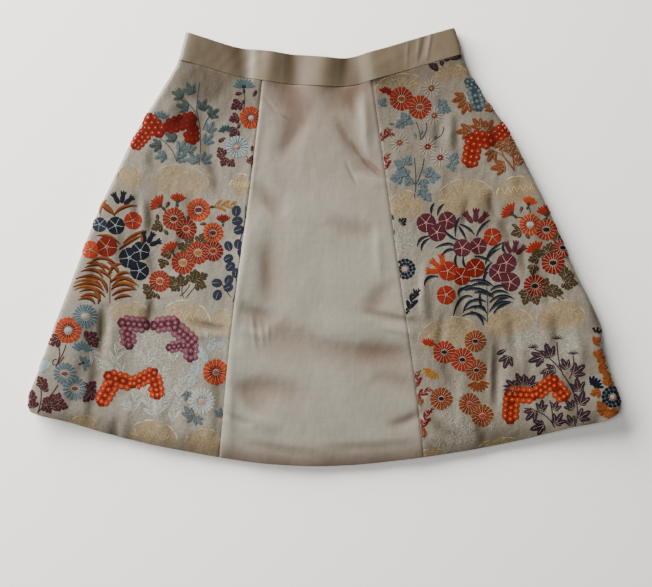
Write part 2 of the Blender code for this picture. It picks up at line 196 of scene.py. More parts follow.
FINE_CREASES = tuple(Crease(*row) for row in (
    (-68, 162, -47, 140, 2, -0.9), (-52, 146, -26, 129, 2, -0.8), (-6, 164, -58, 88, 12, -0.8),
    (8, 140, 40, 98, 7, -1), (28, 116, 52, 86, 4, -1.5), (40, 94, 72, 72, 4, -2.2),
    (36, 84, 60, 60, 8, 0.9), (22, 94, 37, 64, 2.4, -0.8), (40, 176, 51, 86, 7, 0.9),
    (30, 172, 38, 120, 9, -0.8), (-90, 166, 70, 152, 26, -0.9), (52, 34, 64, -44, 7, 0.7),
    (4, 36, 62, 10, 14, -1.1), (-80, 82, -36, 20, 14, -1.1), (-40, 60, 0, 20, 20, 0.9),
    (-68, 30, -58, -90, 19, -1), (-96, -56, -52, -84, 11, -1.4), (-90, -84, -60, -98, 7, 0.8),
    (-80, -66, -72, -114, 2.6, 0.7), (-70, -74, -66, -110, 2.6, 0.6),
    (-62, -80, -60, -106, 2.4, 0.5), (40, -70, 110, -79, 6, -1.4), (52, -86, 104, -91, 6, 0.9),
    (-80, -92, 112, -122, 20, -1.7), (-110, -90, 60, -110, 26, -0.8),
    (-120, -146, -10, -166, 18, -1.6), (-98, -176, -44, -192, 10, 0.8),
    (50, -136, 108, -160, 13, -1.1), (66, -192, 110, -174, 8, -1.4),
    (-110, -176, -76, -190, 6, -0.9), (-66, 156, -82, 30, 8, 1), (-80, 50, -100, -120, 9, 1.3),
    (-96, -100, -106, -225, 8, 1.2), (-104, -206, 10, -222, 8, -0.6),
    (-10, -217, 108, -206, 8, -0.7), (-192, 60, -190, 4, 8.6, 1.3), (-189, 56, -187, 10, 6.5, -1.8),
    (-184, -4, -182, -36, 7.2, -1.3), (-166, 162, -160, 138, 8.6, 1),
    (-156, 160, -152, 128, 7.2, -1), (-238, -66, -237, -116, 7.2, -2.4),
    (-243, -106, -250, -198, 7.2, -1.8), (-228, -64, -230, -126, 8.6, 1.1),
    (-184, -54, -184, -80, 5.8, -1.4), (-148, -78, -100, -88, 5.8, -1.3),
    (-146, -90, -104, -98, 7.2, 0.9), (-132, -92, -128, -150, 8.6, 0.9),
    (-113, -120, -118, -226, 9, -1.4), (-224, -180, -226, -222, 8.6, -1.6),
    (-212, -150, -214, -214, 9, 1), (-166, -166, -160, -216, 8.6, -1.5),
    (-152, -150, -150, -222, 8.6, 1), (-140, 60, -142, 18, 8.6, -1.1),
    (-122, 50, -124, -22, 8.6, 1), (-214, 20, -222, -22, 9.2, -1.4),
    (-136, 150, -132, 100, 8.6, -1.2), (-120, 96, -116, 50, 7.2, -1.3),
    (-178, 110, -186, 76, 9, -1), (-150, 84, -108, 70, 7.2, 0.9), (133, 146, 136, 104, 7.2, 1.5),
    (142, 146, 143, 92, 7.2, -1.5), (122, 140, 124, 100, 7.2, -1.1),
    (178, -92, 179, -176, 4.6, 1.3), (183, -90, 184, -182, 6, -0.9),
    (168, -180, 170, -218, 9, -1.6), (218, -8, 216, -54, 8.6, 1.1), (212, 6, 215, -40, 7.2, -1.8),
    (228, 0, 226, -60, 8.6, -1.3), (180, 62, 182, 30, 6.5, -1.8), (193, 34, 196, 0, 8.6, -1.5),
    (110, -14, 106, -78, 5.8, 1.5), (118, -40, 112, -96, 8.6, -1), (150, 30, 156, -30, 9, 1),
    (170, 60, 176, 10, 9, -0.9), (198, 100, 206, 48, 9, 1.1), (120, 92, 124, 50, 8.6, 0.9),
    (160, 170, 158, 140, 7.2, 1), (240, -70, 252, -120, 9.2, -1.6), (264, -80, 272, -140, 9.2, 1.4),
    (284, -56, 292, -96, 9, -1.6), (214, -110, 216, -160, 8.6, -1.1), (130, -110, 136, -160, 9, -1),
    (146, -120, 150, -200, 9, 1), (110, -180, 150, -206, 9.2, -1.4), (230, -150, 226, -198, 9, 1.1),
    (-190, -64, -186, -96, 8.8, -1.6), (-236, 10, -250, -60, 9, -1.4),
    (-150, 40, -160, -30, 9, -1.3), (-128, 150, -120, 60, 9, -1.1), (148, -30, 150, -100, 9, -1),
    (200, -60, 206, -170, 9, -1.4), (258, -130, 268, -190, 9, -1.3), (176, 150, 180, 80, 9, -1),
    (220, 60, 236, -10, 9, -1.1), (-262, -120, -270, -180, 8.8, -1),
    (-235, -58, -239, -122, 4.5, -1.3), (-187, -54, -188, -92, 4.5, -1),
    (-197, 60, -201, 14, 6, -1.2), (152, 60, 148, 8, 6.5, -1.2), (236, -20, 240, -66, 6.5, -1.3),
    (128, -60, 124, -120, 6.5, -1.2), (188, -120, 190, -190, 5.5, 0.9),
))
BAND_CREASES = tuple(Crease(*row) for row in (
    (-89, 260, -91, 150, 16, -2.3), (-98, 260, -100, 150, 46, -1.9), (-74, 260, -75, 150, 9, 0.9),
    (-62, 260, -62, 150, 18, 1.9), (-38, 260, -37, 150, 13, -1.3), (-6, 260, -6, 150, 20, 1.9),
    (20, 260, 21, 150, 14, -2), (54, 260, 54, 150, 19, 3.1), (114.5, 240, 109.5, 196, 2.4, 0.6),
    (108, 240, 103, 196, 3.6, -0.5), (91, 230, 88, 188, 2.6, 0.35), (101, 232, 98, 192, 2.6, 0.35),
))


def summed_creases(creases: Sequence[Crease], x: Array, y: Array) -> Array:
    """Add up creases at each spot, each with soft flanks and ends that die away.

    Args:
        creases: The ridges and troughs.
        x: Each spot's x.
        y: Each spot's y.

    Returns:
        The height that they add there.
    """
    total = np.zeros(np.broadcast(x, y).shape)
    for crease in creases:
        run_x, run_y = crease.x_end - crease.x_start, crease.y_end - crease.y_start
        square = run_x**2 + run_y**2
        off_x, off_y = x - crease.x_start, y - crease.y_start
        along = (off_x * run_x + off_y * run_y) / square
        aside = (off_x * run_y - off_y * run_x) / math.sqrt(square) / crease.half_width
        bow = aside + CREASE_SWING * np.sin(3.0 * along + crease.x_start)
        ends = np.clip(1.0 - (2.0 * along - 1.0) ** 2, 0.0, 1.0)
        total += crease.height * np.exp(-CREASE_FLANK * bow**2) * ends**CREASE_END
    return total


@dataclass(frozen=True)
class SkirtForm:
    """The shape of the flattened tube: its side folds, its creases and the height of its front."""

    wall: float = 1.3
    band_wall: float = 1.9
    seam_gap: float = 0.1
    back_inset: float = 1.5
    inset_fade: float = 50.0
    radius_waist: float = 6.0
    radius_hem: float = 8.0
    squareness: float = 3.0
    pattern_proud: float = 0.5
    middle_height: float = 9.0
    shoulder_width: float = 95.0
    crease_fade: float = 16.0
    band_crease_reach: float = 5.0
    hem_allowance: float = 27.0
    hem_drop: float = 3.4
    hem_waves: tuple[Spot, ...] = ((0.16, 23.0), (0.1, 9.0))
    seam_dip: float = 0.5
    seam_dip_width: float = 1.5
    pucker: float = 0.07
    pucker_reach: float = 5.0
    waist_dip: float = 0.12
    waist_dip_width: float = 1.2
    waist_rise: float = 0.56
    waist_rise_reach: float = 14.0
    centre_proud: float = 0.15
    centre_fade: float = 2.0
    broad_ripple: float = 0.12
    satin_ripple: float = 0.02
    brocade_ripple: float = 0.09
    # Painted shade: the colour is darkened down in the folds by their depth, under the band's edge and
    # in the hem's turn
    hollow_depth: float = 1.7
    band_shade: float = 0.8
    band_shade_reach: float = 60.0
    band_shade_over_folds: float = 0.6
    hem_shade: float = 0.35
    hem_shade_power: float = 1.5
    centre_hem_shade: float = 0.45
    centre_hem_fade: float = 3.0

    def radius(self, y: Array) -> Array:
        """The radius of both side folds at each y."""
        fall = np.clip((WAIST_SEAM[0][1] - y) / (WAIST_SEAM[0][1] - HEM[0][1]), 0.0, 1.0)
        return self.radius_waist + (self.radius_hem - self.radius_waist) * fall

    def inward(self, x: Array, y: Array) -> Array:
        """How far each spot lies in from the nearer side fold's outer face."""
        return np.minimum(x - across_at(LEFT_SIDE, y), across_at(RIGHT_SIDE, y) - x)

    def in_centre(self, x: Array, y: Array, fade: float) -> Array:
        """How far each spot is inside the centre panel, from 0 at its seams to 1 at the fade's end."""
        return eased((x - across_at(LEFT_SEAM, y)) / fade) * eased((across_at(RIGHT_SEAM, y) - x) / fade)

    def over_hem(self, x: Array, y: Array) -> Array:
        """How far each spot lies down in the hem's turn, from 0 to 1."""
        return np.clip(1.0 - (y - height_at(HEM, x)) / self.hem_allowance, 0.0, 1.0)

    def crease_height(self, x: Array, y: Array) -> Array:
        """The sum of all the creases at each spot of the front.

        Args:
            x: Each spot's x.
            y: Each spot's y.

        Returns:
            The height that they add there.
        """
        below = height_at(WAIST_SEAM, x) - y
        fine = summed_creases(FINE_CREASES, x, y) * (below >= 0.0)
        waves = summed_creases(BAND_CREASES, x, y)
        waves = waves * np.exp(-np.maximum(below, 0.0) / self.band_crease_reach)
        return summed_creases(MAIN_CREASES, x, y) + fine + waves

    def painted_shade(self, x: Array, y: Array) -> Array:
        """Painted shade: how far each spot lies down in a fold, in the turn of the hem or under the
        band's edge.

        Args:
            x: Each spot's x.
            y: Each spot's y.

        Returns:
            Shares from 0 to 1 of painted shade, which the materials darken the colour by.
        """
        # Painted shade, darker down in the creases, under the band's edge and in the hem's turn
        folds = 1.0 - np.exp(-np.maximum(-self.crease_height(x, y), 0.0) / self.hollow_depth)
        below = height_at(WAIST_SEAM, x) - y
        under_band = np.exp(-np.maximum(below, 0.0) / self.band_shade_reach) * (below > 0.0)
        hem = self.hem_shade + self.centre_hem_shade * self.in_centre(x, y, self.centre_hem_fade)
        turn = hem * self.over_hem(x, y) ** self.hem_shade_power
        folds = folds * (1.0 - self.band_shade_over_folds * under_band)
        return np.clip(folds + turn + self.band_shade * under_band, 0.0, 1.0)

    def ripple(self, x: Array, y: Array) -> Array:
        """The cloth's slight unevenness, with brocade more puckered than satin.

        Args:
            x: Each spot's x.
            y: Each spot's y.

        Returns:
            The height that it adds there, as waves of lengths that don't match.
        """
        broad = self.broad_ripple * np.sin(x / 17.0 + 1.3 * np.sin(y / 31.0))
        broad = broad * np.sin(y / 23.0 + x / 61.0)
        fine = np.sin(x / 3.1 + 2.0 * np.sin(y / 9.0)) * np.sin(y / 4.3 + 1.5 * np.sin(x / 11.0))
        satin = self.in_centre(x, y, 1.0) > 0.0
        return broad + np.where(satin, self.satin_ripple, self.brocade_ripple) * fine

    def seam_relief(self, x: Array, y: Array) -> Array:
        """The dips along the seams, with the small puckers that stitching draws up beside them.

        Args:
            x: Each spot's x.
            y: Each spot's y.

        Returns:
            The height that they add there.
        """
        below = height_at(WAIST_SEAM, x) - y
        relief = self.centre_proud * self.in_centre(x, y, self.centre_fade)
        relief -= self.waist_dip * np.exp(-((below / self.waist_dip_width) ** 2))
        relief += self.waist_rise * np.exp(-np.maximum(below, 0.0) / self.waist_rise_reach)
        for seam, phase in ((LEFT_SEAM, 0.0), (RIGHT_SEAM, 2.0)):
            aside = np.abs(x - across_at(seam, y))
            # Waves of lengths that don't match, so that the puckers vary down the seam
            pull = np.sin(y / 1.9 + phase + 2.0 * np.sin(y / 14.0))
            pull = pull * (0.6 + 0.4 * np.sin(y / 37.0 + phase))
            relief += self.pucker * pull * np.exp(-aside / self.pucker_reach)
            relief -= self.seam_dip * np.exp(-((aside / self.seam_dip_width) ** 2))
        return relief * (below > 0.0)

    def level(self, x: Array, y: Array) -> Array:
        """The height of the front's inner face, before it turns round a side fold.

        Args:
            x: Each spot's x.
            y: Each spot's y.

        Returns:
            The heights.
        """
        radius = self.radius(y)
        inward = self.inward(x, y) - radius
        sag = (2.0 * radius - self.middle_height) * eased(inward / self.shoulder_width)
        relief = self.crease_height(x, y) + self.seam_relief(x, y) + self.ripple(x, y)
        uneven = sum((share * np.sin(x / length) for share, length in self.hem_waves), 1.0)
        relief -= self.hem_drop * self.over_hem(x, y) ** 2 * uneven
        return 2.0 * radius - sag + relief * eased(inward / self.crease_fade)

    def front_points(self, x: Array, y: Array, lift: Array, wall: float) -> Array:
        """Lay spots on the front's outer face, round the side folds too.

        Args:
            x: Each spot's x as seen from above.
            y: Each spot's y.
            lift: How far each spot stands out of the face.
            wall: The thickness of the cloth there.

        Returns:
            The points, one row each.
        """
        outer_radius = self.radius(y) + wall / 2.0
        turned = np.clip(1.0 - self.inward(x, y) / outer_radius, 0.0, 1.0)
        upright = (1.0 - turned**self.squareness) ** (1.0 / self.squareness)
        height = self.level(x, y) + wall - outer_radius * (1.0 - upright)
        lift = lift + self.pattern_proud * turned
        sideways = lift * turned**2 * np.where(x < 0.0, -1.0, 1.0)
        return np.stack([x + sideways, y, height + lift * upright], axis=-1)


FORM = SkirtForm()


def edge_at(outline: Outline, offset: float, fade: float, x: Array) -> Array:
    """Read a piece's upper or lower edge, which follows an outline at an offset.

    Args:
        outline: The outline that runs across the skirt.
        offset: How far the edge is moved along Y, such as half a seam's gap.
        fade: The distance from the outline's ends over which the offset sets in, or 0.
        x: Where to read it.

    Returns:
        The edge's y there.
    """
    share = eased(np.minimum(x - outline[0][0], outline[-1][0] - x) / fade) if fade else 1.0
    return height_at(outline, x) + offset * share


LEFT_FOLD = partial(across_at, LEFT_SIDE)
RIGHT_FOLD = partial(across_at, RIGHT_SIDE)


class CutSize(NamedTuple):
    """A piece's flat cut: width and length of the rectangle round it, and its area, in metres."""

    width: float
    length: float
    area: float


class PanelPlan(NamedTuple):
    """A sewn piece: its edges seen from above, how fine its grid is, and its flat cut."""

    name: str
    top: Line
    bottom: Line
    left: Line
    right: Line
    spacing: float
    cut: CutSize

    @property
    def folds(self) -> tuple[bool, bool]:
        """Whether its left and its right edge turn round a side fold."""
        return self.left is LEFT_FOLD, self.right is RIGHT_FOLD

    @property
    def is_back(self) -> bool:
        """Whether it lies under the front."""
        return "back" in self.name

    @property
    def is_band(self) -> bool:
        """Whether it belongs to the waistband."""
        return self.name.startswith("waistband")

    @property
    def wall(self) -> float:
        """The thickness of its cloth."""
        return FORM.band_wall if self.is_band else FORM.wall

    def held_inside(self, x: Array, y: Array) -> tuple[Array, Array, Array]:
        """Move spots of a pattern to the nearest place inside the piece.

        Args:
            x: Each spot's x.
            y: Each spot's y.

        Returns:
            The moved x and y, and which spots were outside.
        """
        low, high = self.left(y) + PATTERN_MARGIN, self.right(y) - PATTERN_MARGIN
        bottom, top = self.bottom(x) + PATTERN_MARGIN, self.top(x) - PATTERN_MARGIN
        outside = (x < low) | (x > high) | (y < bottom) | (y > top)
        return np.clip(x, low, high), np.clip(y, bottom, top), outside


def feed(tree: Tree, node: bpy.types.Node, inputs: dict) -> None:
    """Link sockets to a node's inputs, and set its other inputs to plain values.

    Args:
        tree: The material's node tree.
        node: The node.
        inputs: Input name or number to the output socket or the value that feeds it.
    """
    for key, value in inputs.items():
        if isinstance(value, Socket):
            tree.links.new(value, node.inputs[key])
        else:
            node.inputs[key].default_value = value


def add_node(tree: Tree, kind: str, inputs: dict | None = None, out: int | str = 0,
             **settings: object) -> Socket:
    """Add a shader node with its settings and links.

    Args:
        tree: The material's node tree.
        kind: The node's type name, without what all of them start with.
        inputs: Input name or number to the output socket or the value that feeds it.
        out: The output to give.
        settings: The node's own properties.

    Returns:
        The new node's output.
    """
    node = tree.nodes.new("ShaderNode" + kind)
    for name, value in settings.items():
        setattr(node, name, value)
    feed(tree, node, inputs or {})
    return node.outputs[out]


def new_material(name: str) -> tuple[bpy.types.Material, Tree, bpy.types.Node]:
    """Make a material, and give it with its tree and its Principled shader.

    Args:
        name: The material's name.

    Returns:
        The material, its node tree and its shader.
    """
    material = bpy.data.materials.new(name)
    material.use_nodes = True
    tree = material.node_tree
    return material, tree, tree.nodes["Principled BSDF"]


def stretched_noise(tree: Tree, place: Socket, size_mm: Row, detail: float = 2.0) -> Socket:
    """Add noise whose grains have a real size.

    Args:
        tree: The material's node tree.
        place: The Object coordinates.
        size_mm: The grains' size along X, Y and Z, in millimetres.
        detail: How much finer noise is added to it.

    Returns:
        The noise.
    """
    share = tuple(1.0 / (size * MM) for size in size_mm)
    scaled = add_node(tree, "VectorMath", {0: place, 1: share}, operation="MULTIPLY")
    return add_node(tree, "TexNoise", {"Vector": scaled, "Scale": 1.0, "Detail": detail})


def two_tones(tree: Tree, noise: Socket, span: Spot, first: Colour, second: Colour) -> Socket:
    """Blend two tones of a cloth by a noise.

    Args:
        tree: The material's node tree.
        noise: The noise.
        span: Its values where the first and the second tone show alone.
        first: The first tone.
        second: The second tone.

    Returns:
        The blended colour.
    """
    share = add_node(tree, "MapRange", {"Value": noise, "From Min": span[0], "From Max": span[1]})
    return add_node(tree, "Mix", {"Factor": share, 6: first, 7: second}, out=2, data_type="RGBA")


def toned_by(tree: Tree, attribute: str, colour: Socket, tone: Colour | Socket) -> Socket:
    """Blend a colour to another tone by a share that the mesh holds.

    Args:
        tree: The material's node tree.
        attribute: The share's name.
        colour: The colour where the share is 0.
        tone: The colour where it is 1.

    Returns:
        The blended colour.
    """
    share = add_node(tree, "Attribute", out="Fac", attribute_name=attribute)
    return add_node(tree, "Mix", {"Factor": share, 6: colour, 7: tone}, out=2, data_type="RGBA")


# Silk satin, woven: its long smooth floats give the eye a soft grey sheen and hardly any weave
@dataclass(frozen=True)
class SatinFinish:
    """Silk-faced satin: grey sheen over a warm ground, darkened browner with painted shade down in the
    folds.
    """

    name: str
    colour: str
    streak: str
    # The colour of the painted shade in the folds, under the band's edge and in the hem's turn
    painted_shade_tone: str
    roughness: float = 0.52
    specular: float = 0.65
    crumple: float = 0.45
    tone_span: Spot = (0.62, 0.98)
    slub_mm: Row = (1.8, 18.0, 20.0)
    weft_mm: Row = (46.0, 1.8, 20.0)
    cloud_mm: Row = (34.0, 40.0, 40.0)
    cloud_share: float = 0.3
    crumple_mm: Row = (13.0, 19.0, 16.0)
    crumple_depth: float = 1.2
    grain_mm: Row = (1.1, 1.6, 1.1)
    grain: float = 0.4
    grain_depth: float = 0.06
    ior: float = 1.5

    def material(self) -> bpy.types.Material:
        """Build the satin: faint slubs both ways, painted shade in the folds, light crumples and a fine
        grain.

        Returns:
            The material.
        """
        material, tree, shader = new_material(self.name)
        place = add_node(tree, "TexCoord", out="Object")
        slubs, wefts, clouds, grain = (stretched_noise(tree, place, size) for size in (
            self.slub_mm, self.weft_mm, self.cloud_mm, self.grain_mm))
        both = add_node(tree, "Math", {0: slubs, 1: wefts}, operation="ADD")
        parts = {0: both, 1: self.cloud_share, 2: clouds}
        share = add_node(tree, "Math", parts, operation="MULTIPLY_ADD")
        tones = linear_colour(self.colour), linear_colour(self.streak)
        colour = two_tones(tree, share, self.tone_span, *tones)
        crumples = stretched_noise(tree, place, self.crumple_mm, detail=3.0)
        soft = {"Height": crumples, "Strength": self.crumple, "Distance": self.crumple_depth * MM}
        fine = {"Height": grain, "Strength": self.grain, "Distance": self.grain_depth * MM,
                "Normal": add_node(tree, "Bump", soft)}
        # Painted shade: the colour darkens towards the shade's colour by the painted shade share
        feed(tree, shader, {
            "Base Color": toned_by(tree, "painted_shade", colour, linear_colour(self.painted_shade_tone)),
            "Normal": add_node(tree, "Bump", fine),
            "Roughness": self.roughness, "Specular IOR Level": self.specular, "IOR": self.ior})
        return material


# Figured silk, woven: its ribs give the eye a dry, dull beige; its metal wefts' lighter flecks are a
# painted glint
@dataclass(frozen=True)
class BrocadeGround:
    """The brocade's ground: ribbed beige silk, with other wefts in the hills and the mists."""

    name: str = "beige_brocade_ground_woven"
    colour: str = "#757065"
    shade: str = "#60594e"
    # The colour of the painted shade in the folds, under the band's edge and in the hem's turn
    painted_shade_tone: str = "#3d3325"
    # Each metal weft: its attribute, its own tone, and a lighter tone flecked in as a painted glint
    metals: tuple[tuple[str, str, str], ...] = (
        ("gold", "#695840", "#7f6c4a"), ("silver", "#5f5a4f", "#85837a"), ("dusk", "#2f2b23", "#494337"))
    tone_span: Spot = (0.14, 0.4)
    metal_span: Spot = (0.42, 0.66)
    weave_mm: Row = (3.2, 1.3, 2.0)
    cloud_mm: Row = (38.0, 30.0, 30.0)
    pucker_mm: Row = (8.0, 14.0, 10.0)
    fleck_mm: Row = (1.8, 1.4, 1.6)
    rib_mm: Row = (4.0, 0.9, 1.5)
    relief: float = 0.5
    rib_depth: float = 0.12
    pucker_depth: float = 1.4
    roughness: float = 0.46
    specular: float = 0.4

    def material(self) -> bpy.types.Material:
        """Build the ground: two tones of silk, the other wefts by the panel's attributes, painted shade
        in the folds.

        Returns:
            The material.
        """
        material, tree, shader = new_material(self.name)
        place = add_node(tree, "TexCoord", out="Object")
        weave, clouds, pucker = (stretched_noise(tree, place, size) for size in (
            self.weave_mm, self.cloud_mm, self.pucker_mm))
        fleck, rib = (stretched_noise(tree, place, size, detail=1.0) for size in (
            self.fleck_mm, self.rib_mm))
        share = add_node(tree, "Math", {0: weave, 1: clouds}, operation="MULTIPLY")
        tones = linear_colour(self.shade), linear_colour(self.colour)
        colour = two_tones(tree, share, self.tone_span, *tones)
        # Each metal weft's own tone, flecked with its lighter tone as a painted glint
        for attribute, base, light in self.metals:
            metal = two_tones(tree, fleck, self.metal_span, linear_colour(base), linear_colour(light))
            colour = toned_by(tree, attribute, colour, metal)
        height = add_node(tree, "Math", {0: rib, 1: fleck}, operation="ADD")
        ribs = {"Height": height, "Strength": self.relief, "Distance": self.rib_depth * MM}
        drawn = {"Height": pucker, "Strength": self.relief, "Distance": self.pucker_depth * MM,
                 "Normal": add_node(tree, "Bump", ribs)}
        # Painted shade: the colour darkens towards the shade's colour by the painted shade share
        feed(tree, shader, {
            "Base Color": toned_by(tree, "painted_shade", colour, linear_colour(self.painted_shade_tone)),
            "Normal": add_node(tree, "Bump", drawn),
            "Roughness": self.roughness, "Specular IOR Level": self.specular})
        return material


class Thread(Enum):
    """The coloured pattern threads, each by its sRGB colour."""

    SCARLET = "#671e12"
    BRICK = "#55130a"
    CRIMSON = "#541310"
    ORANGE = "#7e2c16"
    APRICOT = "#b27553"
    RUST = "#5a2f17"
    UMBER = "#36190a"
    OCHRE = "#6e4b1f"
    PEACH = "#8a6552"
    PINK = "#96665f"
    MAROON = "#3a1a21"
    PLUM = "#5c3843"
    AUBERGINE = "#281a22"
    NAVY = "#12121b"
    BLUE = "#1e222d"
    SLATE = "#2b3235"
    TEAL = "#434f53"
    MIST = "#727f80"
    COPPER = "#663519"
    SAGE = "#373f3c"
    STEEL = "#465053"
    ECRU = "#797368"
    OLIVE = "#322818"
    CREAM = "#857c6e"
    WHITE = "#888a83"
    GOLD = "#917e5a"
    BRIGHT_GOLD = "#a8966c"


# The gilt and silvered strips: how metallic each one is
METAL_SHARES = {Thread.WHITE: 0.1, Thread.GOLD: 0.1, Thread.BRIGHT_GOLD: 0.3}


# Silk floats and gilt strips, woven loose: their short streaks of lighter and darker colour are painted
# gloss
@dataclass(frozen=True)
class ThreadFinish:
    """The pattern threads' make: how their tones vary, and the fine twist in their bump."""

    float_mm: Row = (2.2, 0.8, 1.2)
    tone_span: Spot = (0.3, 0.7)
    dark: Spot = (0.7, 0.0)
    light: Spot = (1.3, 0.001)
    # Gain and lift of the painted shade's tone, for the folds, under the band's edge and in the hem's
    # turn
    painted_shade_tone: Spot = (0.45, 0.0)
    twist: float = 0.4
    twist_depth: float = 0.1
    roughness: float = 0.5
    specular: float = 0.04

    def material(self, thread: Thread) -> bpy.types.Material:
        """Build the material of one thread, or give the one that is there.

        Args:
            thread: The thread.

        Returns:
            The material.
        """
        name = f"{thread.name.lower()}_pattern_thread"
        if name in bpy.data.materials:
            return bpy.data.materials[name]
        material, tree, shader = new_material(name)
        place = add_node(tree, "TexCoord", out="Object")
        floats = stretched_noise(tree, place, self.float_mm, detail=1.0)
        # The thread's two tones, whose streaks are painted gloss, and its painted shade tone for the
        # folds
        dark, light, painted_shade_tone = (
            (*(min(1.0, part * gain + more) for part in linear_colour(thread.value)[:3]), 1.0)
            for gain, more in (self.dark, self.light, self.painted_shade_tone))
        colour = two_tones(tree, floats, self.tone_span, dark, light)
        twist = {"Height": floats, "Strength": self.twist, "Distance": self.twist_depth * MM}
        # Painted shade: the colour darkens towards the shade's tone by the painted shade share
        feed(tree, shader, {
            "Base Color": toned_by(tree, "painted_shade", colour, painted_shade_tone),
            "Normal": add_node(tree, "Bump", twist),
            "Roughness": self.roughness, "Metallic": METAL_SHARES.get(thread, 0.0),
            "Specular IOR Level": self.specular})
        return material


THREAD_FINISH = ThreadFinish()


def mesh_of(drawing: bmesh.types.BMesh, name: str) -> bpy.types.Mesh:
    """Turn a drawing into a mesh, and let go of the drawing.

    Args:
        drawing: The mesh in work.
        name: The new mesh's name.

    Returns:
        The new mesh.
    """
    mesh = bpy.data.meshes.new(name)
    drawing.to_mesh(mesh)
    drawing.free()
    return mesh


def places_of(mesh: bpy.types.Mesh) -> Array:
    """Read a mesh's vertices.

    Args:
        mesh: The mesh.

    Returns:
        Their places, one row each.
    """
    flat = np.empty(len(mesh.vertices) * 3, np.float32)
    mesh.vertices.foreach_get("co", flat)
    return flat.reshape(-1, 3)


def keep_share(mesh: bpy.types.Mesh, name: str, values: Array) -> None:
    """Keep a share for each vertex of a mesh, where the materials read it."""
    mesh.attributes.new(name, "FLOAT", "POINT").data.foreach_set("value", values.astype(np.float32))


def finished(mesh: bpy.types.Mesh, material: bpy.types.Material) -> bpy.types.Object:
    """Smooth a mesh, give it its material and put it in the scene.

    Args:
        mesh: The mesh.
        material: Its material.

    Returns:
        The object, under the mesh's name.
    """
    mesh.shade_smooth()
    mesh.materials.append(material)
    piece = bpy.data.objects.new(mesh.name, mesh)
    bpy.context.scene.collection.objects.link(piece)
    return piece


@dataclass
class PatternPlane:
    """The pattern threads of one brocade panel, drawn flat, with one mesh for each thread."""

    name: str
    drawn: dict[Thread, bmesh.types.BMesh] = field(default_factory=partial(defaultdict, bmesh.new))

    def petal(self, thread: Thread, base: Spot, turn: float, length: float, width: float,
              lift: float = 0.3, tip: float = 1.0, pointed: float = 1.0, segments: int = 10) -> None:
        """Draw a domed petal, leaf or disc from its base outwards.

        Args:
            thread: The thread that it is woven in.
            base: The x and y of its base.
            turn: Its direction.
            length: Its length.
            width: Its greatest width.
            lift: How high its middle stands; its rim is at a third of that.
            tip: Under 1 puts the widest place nearer the tip.
            pointed: Over 1 narrows both ends.
            segments: The number of rim points.
        """
        made = bmesh.ops.create_circle(
            self.drawn[thread], cap_ends=True, cap_tris=True, segments=segments, radius=1.0)
        cosine, sine = math.cos(math.radians(turn)), math.sin(math.radians(turn))
        for vert in made["verts"]:
            along, aside, height = (1.0 + vert.co.x) / 2.0, vert.co.y, lift
            if vert.co.length > 0.5:
                along, height = along**tip, lift / 3.0
                aside = math.copysign(abs(aside) ** pointed, aside)
            out, over = along * length, aside * width / 2.0
            vert.co = (base[0] + out * cosine - over * sine, base[1] + out * sine + over * cosine,
                       height)

    def stroke(self, thread: Thread, points: Sequence[Spot], width: float, lift: float = 0.3,
               taper: bool = True, segments: int = 8) -> None:
        """Draw a curved stem or blade through a start, a control point and an end.

        Args:
            thread: The thread that it is woven in.
            points: Its start, control point and end.
            width: Its greatest width.
            lift: How high its middle line stands.
            taper: Whether it narrows to both ends, as a blade does.
            segments: The number of steps along it.
        """
        made = bmesh.ops.create_grid(self.drawn[thread], x_segments=segments, y_segments=2, size=1.0)
        start, control, end = (Vector(point) for point in points)
        for vert in made["verts"]:
            t = (vert.co.x + 1.0) / 2.0
            centre = start * (1.0 - t) ** 2 + control * 2.0 * t * (1.0 - t) + end * t * t
            direction = ((control - start) * (1.0 - t) + (end - control) * t).normalized()
            spread = (math.sin(math.pi * min(max(t, 0.04), 0.97)) ** 0.7 if taper else 1.0) * width / 2.0
            side = vert.co.y
            vert.co = (centre.x - direction.y * spread * side, centre.y + direction.x * spread * side,
                       lift * (1.0 - 0.66 * abs(side)))

    def disc(self, thread: Thread, centre: Spot, radius: float, lift: float, squash: float = 1.0,
             segments: int = 8) -> None:
        """Draw a domed disc.

        Args:
            thread: The thread that it is woven in.
            centre: The x and y of its centre.
            radius: Its radius.
            lift: How high its middle stands.
            squash: Its height as a share of its width, where it is oval.
            segments: The number of rim points.
        """
        made = bmesh.ops.create_circle(
            self.drawn[thread], cap_ends=True, cap_tris=True, segments=segments, radius=radius)
        for vert in made["verts"]:
            height = lift * (0.4 if vert.co.length > radius / 2.0 else 1.0)
            vert.co = (centre[0] + vert.co.x, centre[1] + vert.co.y * squash, height)

    def weave(self, plan: PanelPlan) -> list[bpy.types.Object]:
        """Lay the pattern on its panel, cut at the panel's edges.

        Args:
            plan: The panel.

        Returns:
            One object for each thread.
        """
        pieces = []
        for thread, drawing in self.drawn.items():
            spots = np.array([vert.co[:] for vert in drawing.verts])
            x, y, outside = plan.held_inside(spots[:, 0], spots[:, 1])
            drawing.verts.ensure_lookup_table()
            lost = [face for face in drawing.faces if all(outside[vert.index] for vert in face.verts)]
            for vert, point in zip(drawing.verts, FORM.front_points(x, y, spots[:, 2], plan.wall) * MM):
                vert.co = point
            bmesh.ops.delete(drawing, geom=lost, context="FACES")
            bmesh.ops.dissolve_degenerate(drawing, edges=drawing.edges[:], dist=1e-6)
            mesh = mesh_of(drawing, f"{self.name}_{thread.name.lower()}_threads")
            places = places_of(mesh) / MM
            # Painted shade share, by which the threads' colour darkens in folds, under the band and in
            # the hem's turn
            keep_share(mesh, "painted_shade", FORM.painted_shade(places[:, 0], places[:, 1]))
            pieces.append(finished(mesh, THREAD_FINISH.material(thread)))
        return pieces


class LeafCut(NamedTuple):
    """How a kind of leaf is cut: its side lobes, and the shape of each lobe.

    A lobe is the share of the leaf's length where it starts, how far it spreads in degrees, and its
    own share of the length.
    """

    lobes: tuple[Row, ...]
    slim: float
    tip: float
    pointed: float


